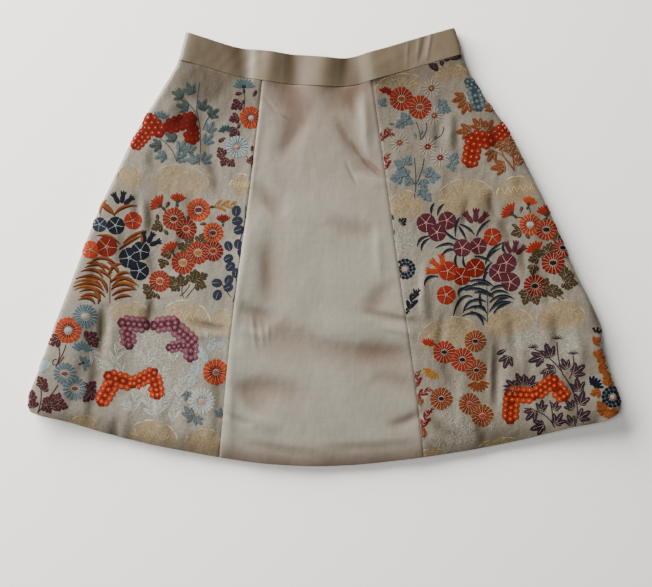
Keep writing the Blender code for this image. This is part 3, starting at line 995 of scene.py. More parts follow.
@dataclass
class Motifs:
    """The flowers, leaves, grasses and dotted cloths that the brocade's pattern is made of.

    Each method draws one motif for each of its rows. The places in a row are px and py, and its
    lengths and radii are in millimetres. The numbers inside the methods are shares of those lengths,
    and heights in millimetres over the cloth.
    """

    plane: PatternPlane

    ROUND = LeafCut(((0.04, 52, 0.66), (0.4, 40, 0.46)), 0.6, 0.68, 1.0)
    SHARP = LeafCut(((0.02, 38, 0.8), (0.06, 76, 0.4)), 0.42, 0.9, 1.3)
    SHARP_THREADS = (Thread.AUBERGINE, Thread.RUST, Thread.SAGE, Thread.STEEL)
    BELL_LINES = {Thread.BLUE: Thread.MIST, Thread.NAVY: Thread.MIST, Thread.MAROON: Thread.PINK}

    def blooms(self, *rows: Sequence, edge: Thread = Thread.PEACH, heart: Thread | None = None,
               petals: int = 16, slim: float = 0.9, full: bool = True, eye: float = 0.22) -> None:
        """Draw chrysanthemums seen from the front.

        Args:
            rows: For each, px and py of its middle, its radius, its petals' and its eye's threads.
            edge: The thread of the thin lines between the petals.
            heart: The darker thread that each petal has near the eye, if it has one.
            petals: The number of petals.
            slim: A petal's width as a share of its room.
            full: Whether the lines between the petals are woven too.
            eye: The eye's radius as a share of the bloom's.
        """
        for px, py, radius, thread, centre in rows:
            middle, hub = photo_place(px, py), radius * eye
            room = 2.0 * radius * (0.97 if full else 0.8) * math.sin(math.pi / petals)
            for step in range(petals):
                turn = 360.0 * (step + 0.3) / petals
                length = (radius - hub) * (1.0 - 0.03 * (step * 7 % 3))
                base = away(middle, turn, hub)
                self.plane.petal(
                    thread, base, turn, length, room * slim, lift=0.46, tip=0.5, pointed=0.8)
                if full:
                    line = [away(middle, turn + 180.0 / petals, radius * part)
                            for part in (0.34, 0.62, 0.93)]
                    self.plane.stroke(edge, line, 0.5, lift=0.62, taper=False, segments=3)
                if heart:
                    self.plane.petal(heart, base, turn, length * 0.55, room * slim * 0.5, lift=0.6,
                                     tip=0.9, segments=6)
            self.plane.disc(edge, middle, hub * 1.14, 0.6, squash=0.74)
            self.plane.disc(centre, middle, hub * 0.98, 0.8, squash=0.68)

    def pompons(self, *rows: Row) -> None:
        """Draw navy blooms with two rings of round petals parted by light lines.

        Args:
            rows: For each, px and py of its middle, and its radius.
        """
        for px, py, radius in rows:
            middle = photo_place(px, py)
            self.plane.disc(Thread.STEEL, middle, radius * 0.95, 0.12, segments=20)
            for rim, count in ((1.0, 14), (0.68, 10)):
                width = 2.0 * radius * rim * 0.8 * math.sin(math.pi / count)
                for step in range(count):
                    turn = 360.0 * (step + rim) / count
                    base = away(middle, turn, radius * (rim - 0.36))
                    self.plane.petal(
                        Thread.NAVY, base, turn, radius * 0.35, width, lift=0.4, tip=0.7, segments=8)
            self.plane.disc(Thread.PINK, middle, radius * 0.22, 0.5)

    def fans(self, *rows: Sequence, petals: int = 8, span: float = 120.0, edge: Thread = Thread.PEACH,
             calyx: Thread | None = None) -> None:
        """Draw chrysanthemums from the side: petals that open from one base.

        Args:
            rows: For each, px and py of its base, its radius, its direction and its thread.
            petals: The number of petals.
            span: The angle that they fill.
            edge: The thread of their edges.
            calyx: The thread of the green cup under them, if it shows.
        """
        for px, py, radius, turn, thread in rows:
            base = photo_place(px, py)
            width = 2.0 * radius * math.sin(math.radians(span / petals / 2.0))
            for step in range(petals):
                aim = turn + span * ((step + 0.5) / petals - 0.5)
                reach = radius * (1.12 - 0.08 * (step % 2))
                self.plane.petal(
                    edge, base, aim, reach + 0.3, width * 1.05, lift=0.18, tip=0.5, pointed=0.85)
                self.plane.petal(thread, base, aim, reach, width * 0.8, lift=0.42, tip=0.42, pointed=0.8)
            if calyx:
                self.plane.petal(calyx, base, turn, radius * 0.4, radius * 0.5, lift=0.56)
                self.plane.petal(calyx, base, turn + 180.0, radius * 0.5, radius * 0.26, lift=0.4)

    def bells(self, *rows: Sequence) -> None:
        """Draw bellflowers from the front: five broad petals parted by light lines.

        Args:
            rows: For each, px and py of its middle, its radius, one petal's direction and its thread.
        """
        for px, py, radius, turn, thread in rows:
            middle = photo_place(px, py)
            for aim in range(turn, turn + 360, 72):
                self.plane.petal(
                    thread, middle, aim, radius * 1.06, radius * 1.16, lift=0.4, tip=0.46, pointed=0.9)
                line = [away(middle, aim + 36.0, radius * part) for part in (0.0, 0.45, 0.9)]
                self.plane.stroke(self.BELL_LINES.get(thread, Thread.PEACH), line, 0.56,
                                  lift=0.62, taper=False, segments=4)

    def leaves(self, thread: Thread, *rows: Row, rib: Thread = Thread.CREAM) -> None:
        """Draw leaves: a middle lobe with round or sharp lobes along both sides, or a plain blade.

        Args:
            thread: Their thread, which also says whether they are sharp.
            rows: For each, px and py of its middle, its tip's direction, its length, 1 if plain.
            rib: The thread of their ribs.
        """
        cut = self.SHARP if thread in self.SHARP_THREADS else self.ROUND
        for px, py, turn, length, *plain in rows:
            length *= 1.0 if plain else 1.3
            base = away(photo_place(px, py), turn, -length / 2.0)
            parts = [(0.0, 0.0, 1.0, 0.5 if plain else 0.42)]
            if not plain:
                parts += [(along, side * spread, reach, reach * cut.slim)
                          for along, spread, reach in cut.lobes for side in (-1.0, 1.0)]
            for along, spread, reach, width in parts:
                start = away(base, turn, length * along)
                aim = turn + spread
                self.plane.petal(
                    thread, start, aim, length * reach, length * width, lift=0.4 - 0.1 * along,
                    tip=cut.tip, pointed=cut.pointed, segments=8)
                if along < 0.3:
                    line = [away(start, aim, length * reach * part) for part in (0.0, 0.4, 0.8)]
                    self.plane.stroke(rib, line, 0.34, lift=0.6, segments=3)

    def round_leaves(self, thread: Thread, *rows: Row) -> None:
        """Draw round leaves with a light slit along their middle.

        Args:
            thread: Their thread.
            rows: For each, px and py of its middle, its direction and its radius.
        """
        for px, py, turn, radius in rows:
            slit = [away(photo_place(px, py), turn, radius * part) for part in (-1.22, 0.0, 0.61)]
            self.plane.petal(thread, slit[0], turn, radius * 2.44, radius * 2.0252, lift=0.4)
            self.plane.stroke(Thread.MIST, slit, 0.5, lift=0.6, segments=3)

    def blades(self, thread: Thread, width: float, *rows: Row, under: Thread | None = None,
               stem: bool = False) -> None:
        """Draw grass blades.

        Args:
            thread: Their thread.
            width: Their greatest width.
            rows: For each, px and py of its start, of its control point and of its end.
            under: The thread of a blade's broader edge below, if there is one.
            stem: Whether they keep their width.
        """
        for row in rows:
            points = [photo_place(*row[at:at + 2]) for at in (0, 2, 4)]
            if under:
                lower = [(x + 0.1 * width, y - 0.35 * width) for x, y in points[:2]]
                self.plane.stroke(under, [*lower, points[2]], width * 1.24, lift=0.22)
            self.plane.stroke(thread, points, width * (0.8 if under else 1.0), lift=0.42, taper=not stem)

    def stems(self, thread: Thread, width: float, *rows: Row) -> None:
        """Draw stems, given as blades are."""
        self.blades(thread, width, *rows, stem=True)

    def buds(self, thread: Thread, *rows: Row) -> None:
        """Draw tall buds, three from one place.

        Args:
            thread: Their thread.
            rows: For each three, px and py of their place, their direction and their length.
        """
        for px, py, turn, length in rows:
            for aim in (turn - 38.0, turn, turn + 38.0):
                base = away(photo_place(px, py), aim, length * 0.25)
                self.plane.petal(thread, base, aim, length * 0.66, length * 0.3, lift=0.4, tip=1.2)
                for lean in (-26.0, 0.0, 26.0):
                    self.plane.petal(thread, away(base, aim, length * 0.4), aim + lean, length * 0.4,
                                     length * 0.15, lift=0.36, pointed=1.3, segments=6)

    def dotted(self, thread: Thread, shade: Thread, dot: Thread, *rows: Row) -> None:
        """Draw a dotted cloth: round bumps with a light knot each, in capsules with scalloped rims.

        Args:
            thread: The bumps' thread.
            shade: The darker thread between the bumps.
            dot: The knots' thread.
            rows: For each capsule, px and py of its two ends, and its radius.
        """
        bumps: list[tuple[Vector, float]] = []
        for row in rows:
            start, end = Vector(photo_place(*row[:2])), Vector(photo_place(*row[2:4]))
            run = end - start
            pitch = (row[4] + 0.6) / 1.4
            steps = max(1, round(run.length / pitch))
            spots = [start + run * ((step + 0.5) / steps) for step in range(-1, steps + 1)]
            ring = pitch * 0.88
            around = 2.0 * math.pi * ring + 2.0 * run.length
            count = round(around / (pitch * 0.96))
            facing = math.atan2(run.y, run.x)
            for spot in spots:
                for step in range(7):
                    reach = Vector((pitch * 0.46 if step else 0.0, 0.0))
                    aside = Matrix.Rotation(step * math.pi / 3.0, 2) @ reach
                    self.plane.disc(shade, (spot + aside)[:], pitch * 0.5, 0.38)
            for step in range(count):
                spots.append(capsule_rim(start, run.length, facing, ring, step * around / count))
            for spot in spots:
                if all((spot - other).length > pitch * 0.72 for other, _ in bumps):
                    bumps.append((spot, pitch))
        for spot, pitch in bumps:
            self.plane.disc(shade, spot[:], pitch * 0.6, 0.4)
            self.plane.disc(thread, spot[:], pitch * 0.53, 0.54)
            self.plane.disc(dot, spot[:], pitch * 0.25, 0.64, segments=6)

    def sprays(self, thread: Thread, *rows: Row, pairs: int = 5, slim: float = 0.24) -> None:
        """Draw leafy sprays: a thin stem with slim leaves in pairs.

        Args:
            thread: Their thread.
            rows: For each, px and py of its middle, its tip's direction and its length.
            pairs: The pairs of leaves.
            slim: A leaf's width as a share of its length.
        """
        for px, py, turn, length in rows:
            line = [away(photo_place(px, py), turn, length * part) for part in (-0.5, 0.0, 0.5)]
            self.plane.stroke(thread, line, 0.6, lift=0.24, taper=False, segments=5)
            for pair in range(pairs):
                along = (pair + 0.6) / (pairs + 0.4)
                start = away(line[0], turn, length * along)
                for side in (0, 1):
                    reach = length * (0.36 + 0.05 * ((pair * 2 + side) % 3)) * (1.15 - 0.62 * along)
                    lean = (2 * side - 1) * (30.0 + 9.0 * ((pair + side) % 3))
                    self.plane.petal(thread, start, turn + lean, reach, reach * slim, lift=0.32,
                                     pointed=1.2, segments=6)


def capsule_rim(start: Vector, length: float, facing: float, radius: float, along: float) -> Vector:
    """Walk along a capsule's rim, whose second half is the first one turned about its middle.

    Args:
        start: The middle of its first round end.
        length: The distance to the middle of its other end.
        facing: The direction of its length, in radians.
        radius: The radius of its ends.
        along: How far to walk.

    Returns:
        The spot on the rim.
    """
    half = length + math.pi * radius
    back = along >= half
    along -= half * back
    angle = max(along - length, 0.0) / radius - math.pi / 2.0
    spot = Vector((min(along, length) + math.cos(angle) * radius, math.sin(angle) * radius))
    return start + Matrix.Rotation(facing, 2) @ (Vector((length, 0.0)) - spot if back else spot)


class Hill(NamedTuple):
    """A gold hill: its foot's middle, its half width, its height, and whether its gilt is bright."""

    px: float
    py: float
    half_width: float
    height: float
    bright: bool = False


class Mist(NamedTuple):
    """A patch of silver or dusky texture: its middle, its half width and its half height."""

    px: float
    py: float
    half_width: float
    half_height: float
    dusky: bool = False


@dataclass
class BrocadePattern:
    """What is woven into one brocade panel: the ground's hills and mists, and the motifs over it."""

    name: str
    tilt: float
    hills: tuple[Hill, ...]
    mists: tuple[Mist, ...]
    gold: float = 0.9
    silver: float = 0.75
    dusk: float = 0.95
    hill_softness: float = 6.0
    hill_foot: float = 2.4
    ring_share: float = 0.22
    ring_turn: float = 1.05
    mist_softness: float = 2.2
    arc_start: float = 8.0
    arc_step: float = 27.0
    ray_step: float = 18.0
    plane: PatternPlane = field(init=False)

    def __post_init__(self) -> None:
        """Start the pattern's plane."""
        self.plane = PatternPlane(self.name)

    def ground(self, x: Array, y: Array) -> dict[str, Array]:
        """How gold, how silver and how dusky the ground is at each spot.

        Args:
            x: Each spot's x.
            y: Each spot's y.

        Returns:
            Shares from 0 to 1, by the weft's name.
        """
        gold, silver, dusk = (np.zeros(x.shape) for _ in range(3))
        cosine, sine = math.cos(math.radians(self.tilt)), math.sin(math.radians(self.tilt))
        for hill in self.hills:
            centre_x, centre_y = photo_place(hill.px, hill.py)
            across = ((x - centre_x) * cosine + (y - centre_y) * sine) / hill.half_width
            up = ((y - centre_y) * cosine - (x - centre_x) * sine) / hill.height
            reach = np.sqrt(across**2 + np.where(up > 0.0, up, up * self.hill_foot) ** 2)
            waves = np.sin(reach * hill.height * self.ring_turn)
            rings = 1.0 - self.ring_share + self.ring_share * waves
            rim = eased((1.0 - reach) * hill.height / self.hill_softness + 0.3)
            gold = np.maximum(gold, rim * rings * self.gold)
        for mist in self.mists:
            centre_x, centre_y = photo_place(mist.px, mist.py)
            across, up = (x - centre_x) / mist.half_width, (y - centre_y) / mist.half_height
            reach = np.sqrt(across**2 + up**2)
            share = eased((1.0 - reach) * self.mist_softness)
            if mist.dusky:
                dusk = np.maximum(dusk, share * self.dusk)
            else:
                silver = np.maximum(silver, share * self.silver)
        return {"gold": gold, "silver": silver * (1.0 - gold), "dusk": dusk}

    def on_hill(self, hill: Hill, across: float, up: float) -> Spot:
        """Find a spot on a hill.

        Args:
            hill: The hill.
            across: How far the spot is from its foot's middle, as a share of its half width.
            up: How far the spot is above its foot, as a share of its height.

        Returns:
            The spot.
        """
        offset = Vector((across * hill.half_width, up * hill.height))
        turned = Matrix.Rotation(math.radians(self.tilt), 2) @ offset
        return (Vector(photo_place(hill.px, hill.py)) + turned)[:]

    def on_arc(self, hill: Hill, turn: float, share: float) -> Spot:
        """The spot at a share of a hill's reach, in a direction from its foot's middle."""
        return self.on_hill(hill, *away((0.0, 0.0), turn, share))

    def draw_hills(self) -> None:
        """Draw the hills' arcs, rays and chevrons in gilt thread."""
        for number, hill in enumerate(self.hills):
            thread = Thread.BRIGHT_GOLD if hill.bright else Thread.GOLD
            arcs = ((1.0, 1.08, thread, 1.5), (0.8 if hill.bright else 0.7, 1.04, Thread.GOLD, 0.7))
            for ring, (share, bulge, gilt, width) in enumerate(arcs):
                for step in range(6):
                    if (step + 2 * ring + number) % 3:
                        turn = self.arc_start + self.arc_step * step
                        line = [self.on_arc(hill, turn + self.arc_step * part, share * by)
                                for part, by in ((0.0, 1.0), (0.5, bulge), (1.0, 1.0))]
                        self.plane.stroke(gilt, line, width, lift=0.16, segments=5)
            for step in range(9):
                ray = [self.on_arc(hill, self.ray_step * (step + 1.0), part)
                       for part in (0.3, 0.6, 0.92)]
                self.plane.stroke(Thread.GOLD, ray, 0.42, lift=0.12, taper=False, segments=3)
            for foot in (-0.6, -0.3, 0.0, 0.3, 0.6) if hill.bright else ():
                for lean in (-0.14, 0.14):
                    chevron = [self.on_hill(hill, foot + lean * part, 0.18 + 0.34 * part)
                               for part in (0.0, 0.5, 1.0)]
                    self.plane.stroke(thread, chevron, 0.45, lift=0.18, taper=False, segments=2)


def left_pattern() -> BrocadePattern:
    """Draw the pattern of the panel at the viewer's left, row by row from the waist.

    Returns:
        The pattern.
    """
    pattern = BrocadePattern("front_left", -5.0, tuple(Hill(*row) for row in (
        (130, 183, 14, 18), (180, 187, 31, 23), (241, 190, 12, 17, True), (130, 318, 22, 18),
        (185, 324, 27, 25, True), (222, 328, 12, 20), (84, 430, 16, 16), (152, 441, 27, 22, True),
        (205, 448, 22, 20),
    )), (Mist(203, 84, 32, 26, True), Mist(150, 350, 30, 30), Mist(172, 395, 34, 34)))
    draw = Motifs(pattern.plane)
    pattern.draw_hills()

    # First row: blue-grey branches, a dotted bow, and a flower column by the seam
    draw.stems(
        Thread.SAGE, 0.9, (199, 165, 203, 137, 197, 112), (197, 114, 197, 98, 200, 83),
        (196, 113, 189, 103, 176, 90), (177, 162, 173, 146, 160, 139),
        (203, 130, 206, 118, 214, 114), (200, 160, 190, 152, 180, 148))
    draw.leaves(
        Thread.SAGE, (178, 95, 160, 11), (190, 89, 115, 11), (183, 107, 170, 11),
        (204, 105, 65, 11), (214, 113, 35, 11), (171, 137, 150, 11), (156, 146, 185, 11),
        rib=Thread.STEEL)
    draw.leaves(
        Thread.STEEL, (211, 127, 60, 11), (209, 139, 45, 11), (161, 157, 200, 11),
        (182, 157, 35, 11), (183, 146, 60, 11), (193, 158, 115, 11), (207, 158, 30, 11),
        (190, 147, 80, 11), rib=Thread.MIST)
    draw.fans((161, 121, 9.5, 90, Thread.TEAL), petals=6, span=140, edge=Thread.MIST)
    draw.dotted(
        Thread.SCARLET, Thread.BRICK, Thread.APRICOT, (151, 121, 158, 131, 8.5),
        (152, 128, 138, 144, 7))
    draw.dotted(
        Thread.BRICK, Thread.CRIMSON, Thread.ORANGE, (170, 127, 190, 120, 8),
        (190, 124, 192, 137, 8))
    draw.fans(
        (244, 89, 11, 90, Thread.TEAL), petals=9, span=170, edge=Thread.MIST, calyx=Thread.BLUE)
    draw.fans((226, 133, 8, 95, Thread.SLATE), petals=7, span=160, edge=Thread.MIST)
    draw.blooms((251, 118, 12.5, Thread.ORANGE, Thread.CREAM), heart=Thread.SCARLET, petals=14)
    draw.blooms((237, 147, 12.5, Thread.MIST, Thread.PINK), edge=Thread.TEAL, petals=18)
    draw.leaves(
        Thread.MAROON, (239, 94, 190, 8, 1), (255, 94, 60, 8, 1), (236, 106, 215, 10),
        (243, 103, 60, 7, 1), (234, 119, 200, 9), (239, 126, 250, 7, 1), (234, 133, 225, 9),
        (222, 140, 215, 9, 1), (221, 152, 120, 9), (224, 162, 240, 9), (232, 164, -40, 7),
        (252, 149, 80, 7, 1), (252, 160, 80, 8))
    draw.stems(
        Thread.MAROON, 0.8, (244, 92, 246, 100, 243, 112), (229, 133, 232, 140, 228, 146),
        (246, 156, 250, 160, 252, 168))

    # Second row: bellflowers over ochre grass, red chrysanthemums, and a round-leafed sprig by the seam
    draw.buds(Thread.NAVY, (122, 208, 80, 18), (146, 247, 60, 18))
    draw.blades(
        Thread.RUST, 3.4, (116, 214, 104, 208, 102, 200), (116, 216, 110, 206, 104, 203),
        (116, 214, 122, 204, 138, 206), (124, 243, 134, 232, 147, 231),
        (120, 249, 132, 238, 143, 236), (141, 233, 145, 240, 142, 244),
        (120, 243, 112, 233, 98, 236), under=Thread.UMBER)
    draw.blades(
        Thread.RUST, 3.5, (106, 283, 96, 270, 77, 279), (105, 290, 95, 277, 75, 287),
        (106, 296, 97, 283, 81, 292), (99, 303, 103, 293, 93, 289), (117, 264, 105, 252, 92, 262),
        (113, 272, 103, 258, 86, 268), (111, 282, 121, 270, 139, 286),
        (112, 289, 123, 277, 137, 290), (113, 295, 122, 286, 136, 290),
        (109, 276, 112, 262, 124, 264), (104, 277, 97, 264, 82, 272),
        (120, 275, 118, 265, 108, 262), (103, 286, 94, 274, 84, 281), (102, 300, 94, 289, 82, 297),
        (108, 292, 108, 282, 98, 276), (113, 286, 124, 272, 134, 281),
        (115, 299, 124, 292, 132, 297), (96, 303, 92, 293, 80, 300), (112, 279, 104, 266, 94, 272),
        (106, 270, 98, 258, 88, 264), (114, 280, 122, 268, 131, 274), under=Thread.UMBER)
    draw.blades(
        Thread.OCHRE, 2.8, (101, 214, 100, 205, 108, 200), (100, 282, 88, 276, 76, 283),
        (98, 288, 86, 283, 76, 290), (118, 283, 128, 280, 136, 286), under=Thread.RUST)
    draw.stems(Thread.RUST, 1, (111, 303, 110, 285, 113, 262))
    draw.bells(
        (101, 225, 7.5, 80, Thread.BLUE), (117, 226, 9, 100, Thread.NAVY),
        (134, 221, 9, 85, Thread.SCARLET), (92, 250, 9, 80, Thread.ORANGE),
        (108, 247, 10.5, 100, Thread.BRICK), (130, 258, 10.5, 80, Thread.NAVY),
        (141, 251, 9.5, 95, Thread.NAVY), (140, 271, 9.5, 70, Thread.NAVY))
    draw.leaves(
        Thread.OLIVE, (158, 218, 95, 8, 1), (157, 227, 205, 10), (166, 232, -50, 8, 1),
        (168, 205, 60, 8, 1), (203, 224, 0, 8, 1), (188, 218, 60, 7, 1), (183, 247, 150, 11),
        (190, 240, 40, 9), (202, 238, 65, 10), (166, 254, 190, 9), (163, 264, 250, 9),
        (147, 288, 130, 9), (150, 295, 230, 9), (158, 296, -60, 8, 1), (173, 281, 130, 11),
        (181, 280, 95, 11), (194, 276, 75, 12), (202, 277, 25, 11), (201, 285, -20, 10),
        (175, 288, 220, 8))
    draw.stems(
        Thread.OLIVE, 0.9, (176, 209, 176, 202, 178, 198), (160, 206, 164, 210, 169, 214),
        (172, 250, 174, 256, 176, 258), (184, 283, 180, 291, 184, 298),
        (190, 284, 188, 290, 180, 296), (196, 286, 192, 290, 186, 298))
    draw.blooms(
        (198.6, 210, 13, Thread.ORANGE, Thread.MAROON),
        (174, 219, 12.5, Thread.SCARLET, Thread.UMBER),
        (213, 251, 11.5, Thread.CRIMSON, Thread.SCARLET),
        (186, 229, 12, Thread.CRIMSON, Thread.SCARLET),
        (213, 233, 11.5, Thread.ORANGE, Thread.MAROON),
        (198, 252.5, 13, Thread.SCARLET, Thread.OCHRE),
        (183, 262.6, 13, Thread.SCARLET, Thread.OCHRE),
        (160, 281, 12, Thread.SCARLET, Thread.ORANGE), heart=Thread.BRICK, eye=0.32)
    draw.fans(
        (162, 207, 12, 140, Thread.SCARLET), (178, 203, 10, 88, Thread.SCARLET),
        (173, 253, 12, 125, Thread.SCARLET), (223, 223, 9, 90, Thread.CRIMSON), calyx=Thread.OLIVE)
    draw.leaves(Thread.OLIVE, (213, 207, 180, 7, 1))
    draw.sprays(Thread.OCHRE, (224, 205.5, 4, 25), pairs=7, slim=0.2)
    draw.round_leaves(
        Thread.BLUE, (236.5, 211, 80, 5), (237.5, 221, 10, 5), (239, 230, 20, 5),
        (228.5, 246, 110, 4.6), (238, 244, 80, 4.4), (228.5, 258.5, 30, 4.6),
        (230.5, 266.5, 40, 4.8), (217, 283, 0, 4.8), (229, 280, 60, 4.8), (228.5, 287.5, 20, 4.6),
        (217.5, 295, 70, 5), (236, 273, 80, 4.5), (241, 252, 80, 4))
    draw.stems(
        Thread.NAVY, 0.9, (233, 302, 238, 288, 236, 276), (236, 278, 243, 262, 238, 250),
        (240, 240, 246, 225, 246, 206), (231, 297, 226, 290, 222, 284))

    # Third row: the edge's flower column, two dotted bows over silver sprays, and flowers by the seam
    draw.sprays(
        Thread.WHITE, (96, 358, -60, 26), (118, 352, 70, 30), (150, 357, 60, 24),
        (128, 342, 250, 16), (139, 351, 120, 18), (175, 352, 80, 26), (164, 372, 45, 22),
        (182, 385, 75, 32), (121, 366, 100, 22), (110, 365, 140, 14), (136, 400, 80, 30),
        (150, 405, 110, 30), (162, 405, 60, 30), (175, 412, 75, 26), (127, 405, 130, 20),
        (145, 386, 85, 20), (193, 380, 65, 20), (104, 342, 70, 16), (208, 338, 110, 14), pairs=6,
        slim=0.15)
    draw.dotted(
        Thread.PLUM, Thread.MAROON, Thread.PINK, (126, 323, 143, 325, 8), (127, 326, 129, 342, 8))
    draw.dotted(
        Thread.PLUM, Thread.MAROON, Thread.PINK, (158, 325, 172, 323, 8), (174, 326, 190, 340, 8.5),
        (191, 340, 191, 354, 8), (172, 347, 186, 345, 6))
    draw.dotted(
        Thread.ORANGE, Thread.BRICK, Thread.APRICOT, (113, 377, 127, 382, 8.5),
        (111, 386, 104, 398, 8.5))
    draw.dotted(
        Thread.ORANGE, Thread.BRICK, Thread.APRICOT, (137, 382, 152, 374, 7.5),
        (154, 377, 157, 392, 8))
    draw.leaves(
        Thread.MAROON, (92, 336, 30, 11), (95, 343, -60, 9), (56, 341, 200, 11), (92, 386, 50, 11),
        (88, 397, 230, 10), (95, 394, -30, 8), (43, 380, 120, 9), (47, 386, 60, 8),
        (54, 398, 60, 9), (58, 404, 20, 9), (64, 405, -20, 10), (50, 408, -60, 9),
        (48, 401, 110, 8), (60, 396, 70, 8), (35, 402, 100, 9), (34, 394, 80, 9))
    draw.stems(
        Thread.MAROON, 1.1, (60, 344, 64, 354, 58, 366), (68, 344, 66, 352, 60, 362),
        (40, 412, 46, 396, 42, 382), (40, 412, 54, 394, 60, 384), (59, 359, 54, 358, 55, 364),
        (55, 364, 60, 366, 66, 356))
    draw.fans((83, 352, 11.5, 80, Thread.TEAL), petals=8, span=150, edge=Thread.MIST)
    draw.fans(
        (83, 363, 8, 20, Thread.TEAL), petals=5, span=200, edge=Thread.MIST, calyx=Thread.MAROON)
    draw.fans((42, 374, 17, 75, Thread.MIST), petals=8, span=70, edge=Thread.WHITE)
    draw.blooms(
        (86.6, 316, 13.5, Thread.TEAL, Thread.CREAM), edge=Thread.MIST, petals=20, slim=0.6,
        eye=0.28)
    draw.blooms(
        (70, 330, 14.5, Thread.ORANGE, Thread.MIST), heart=Thread.BRICK, petals=18, eye=0.28)
    draw.blooms(
        (66.5, 373, 12.5, Thread.TEAL, Thread.RUST), edge=Thread.MIST, petals=16, slim=0.6, eye=0.3)
    draw.blooms(
        (76, 388, 13.5, Thread.TEAL, Thread.RUST), edge=Thread.MIST, petals=16, slim=0.6, eye=0.28)
    draw.sprays(
        Thread.MIST, (200, 352, 130, 20), (212, 346, 70, 18), (222, 344, 50, 14),
        (196, 366, 100, 22), (193, 378, 110, 16), (206, 358, 100, 14), pairs=4, slim=0.4)
    draw.leaves(
        Thread.STEEL, (187, 396, 250, 9), (188, 411, 120, 11), (191, 418, 230, 10),
        (199, 421, -50, 9), (220, 412, 80, 9))
    draw.blooms((216, 372, 14.5, Thread.ORANGE, Thread.PLUM), heart=Thread.BRICK, petals=16)
    draw.blooms((202, 401, 15, Thread.WHITE, Thread.PINK), edge=Thread.MIST, petals=20, slim=0.7)
    return pattern


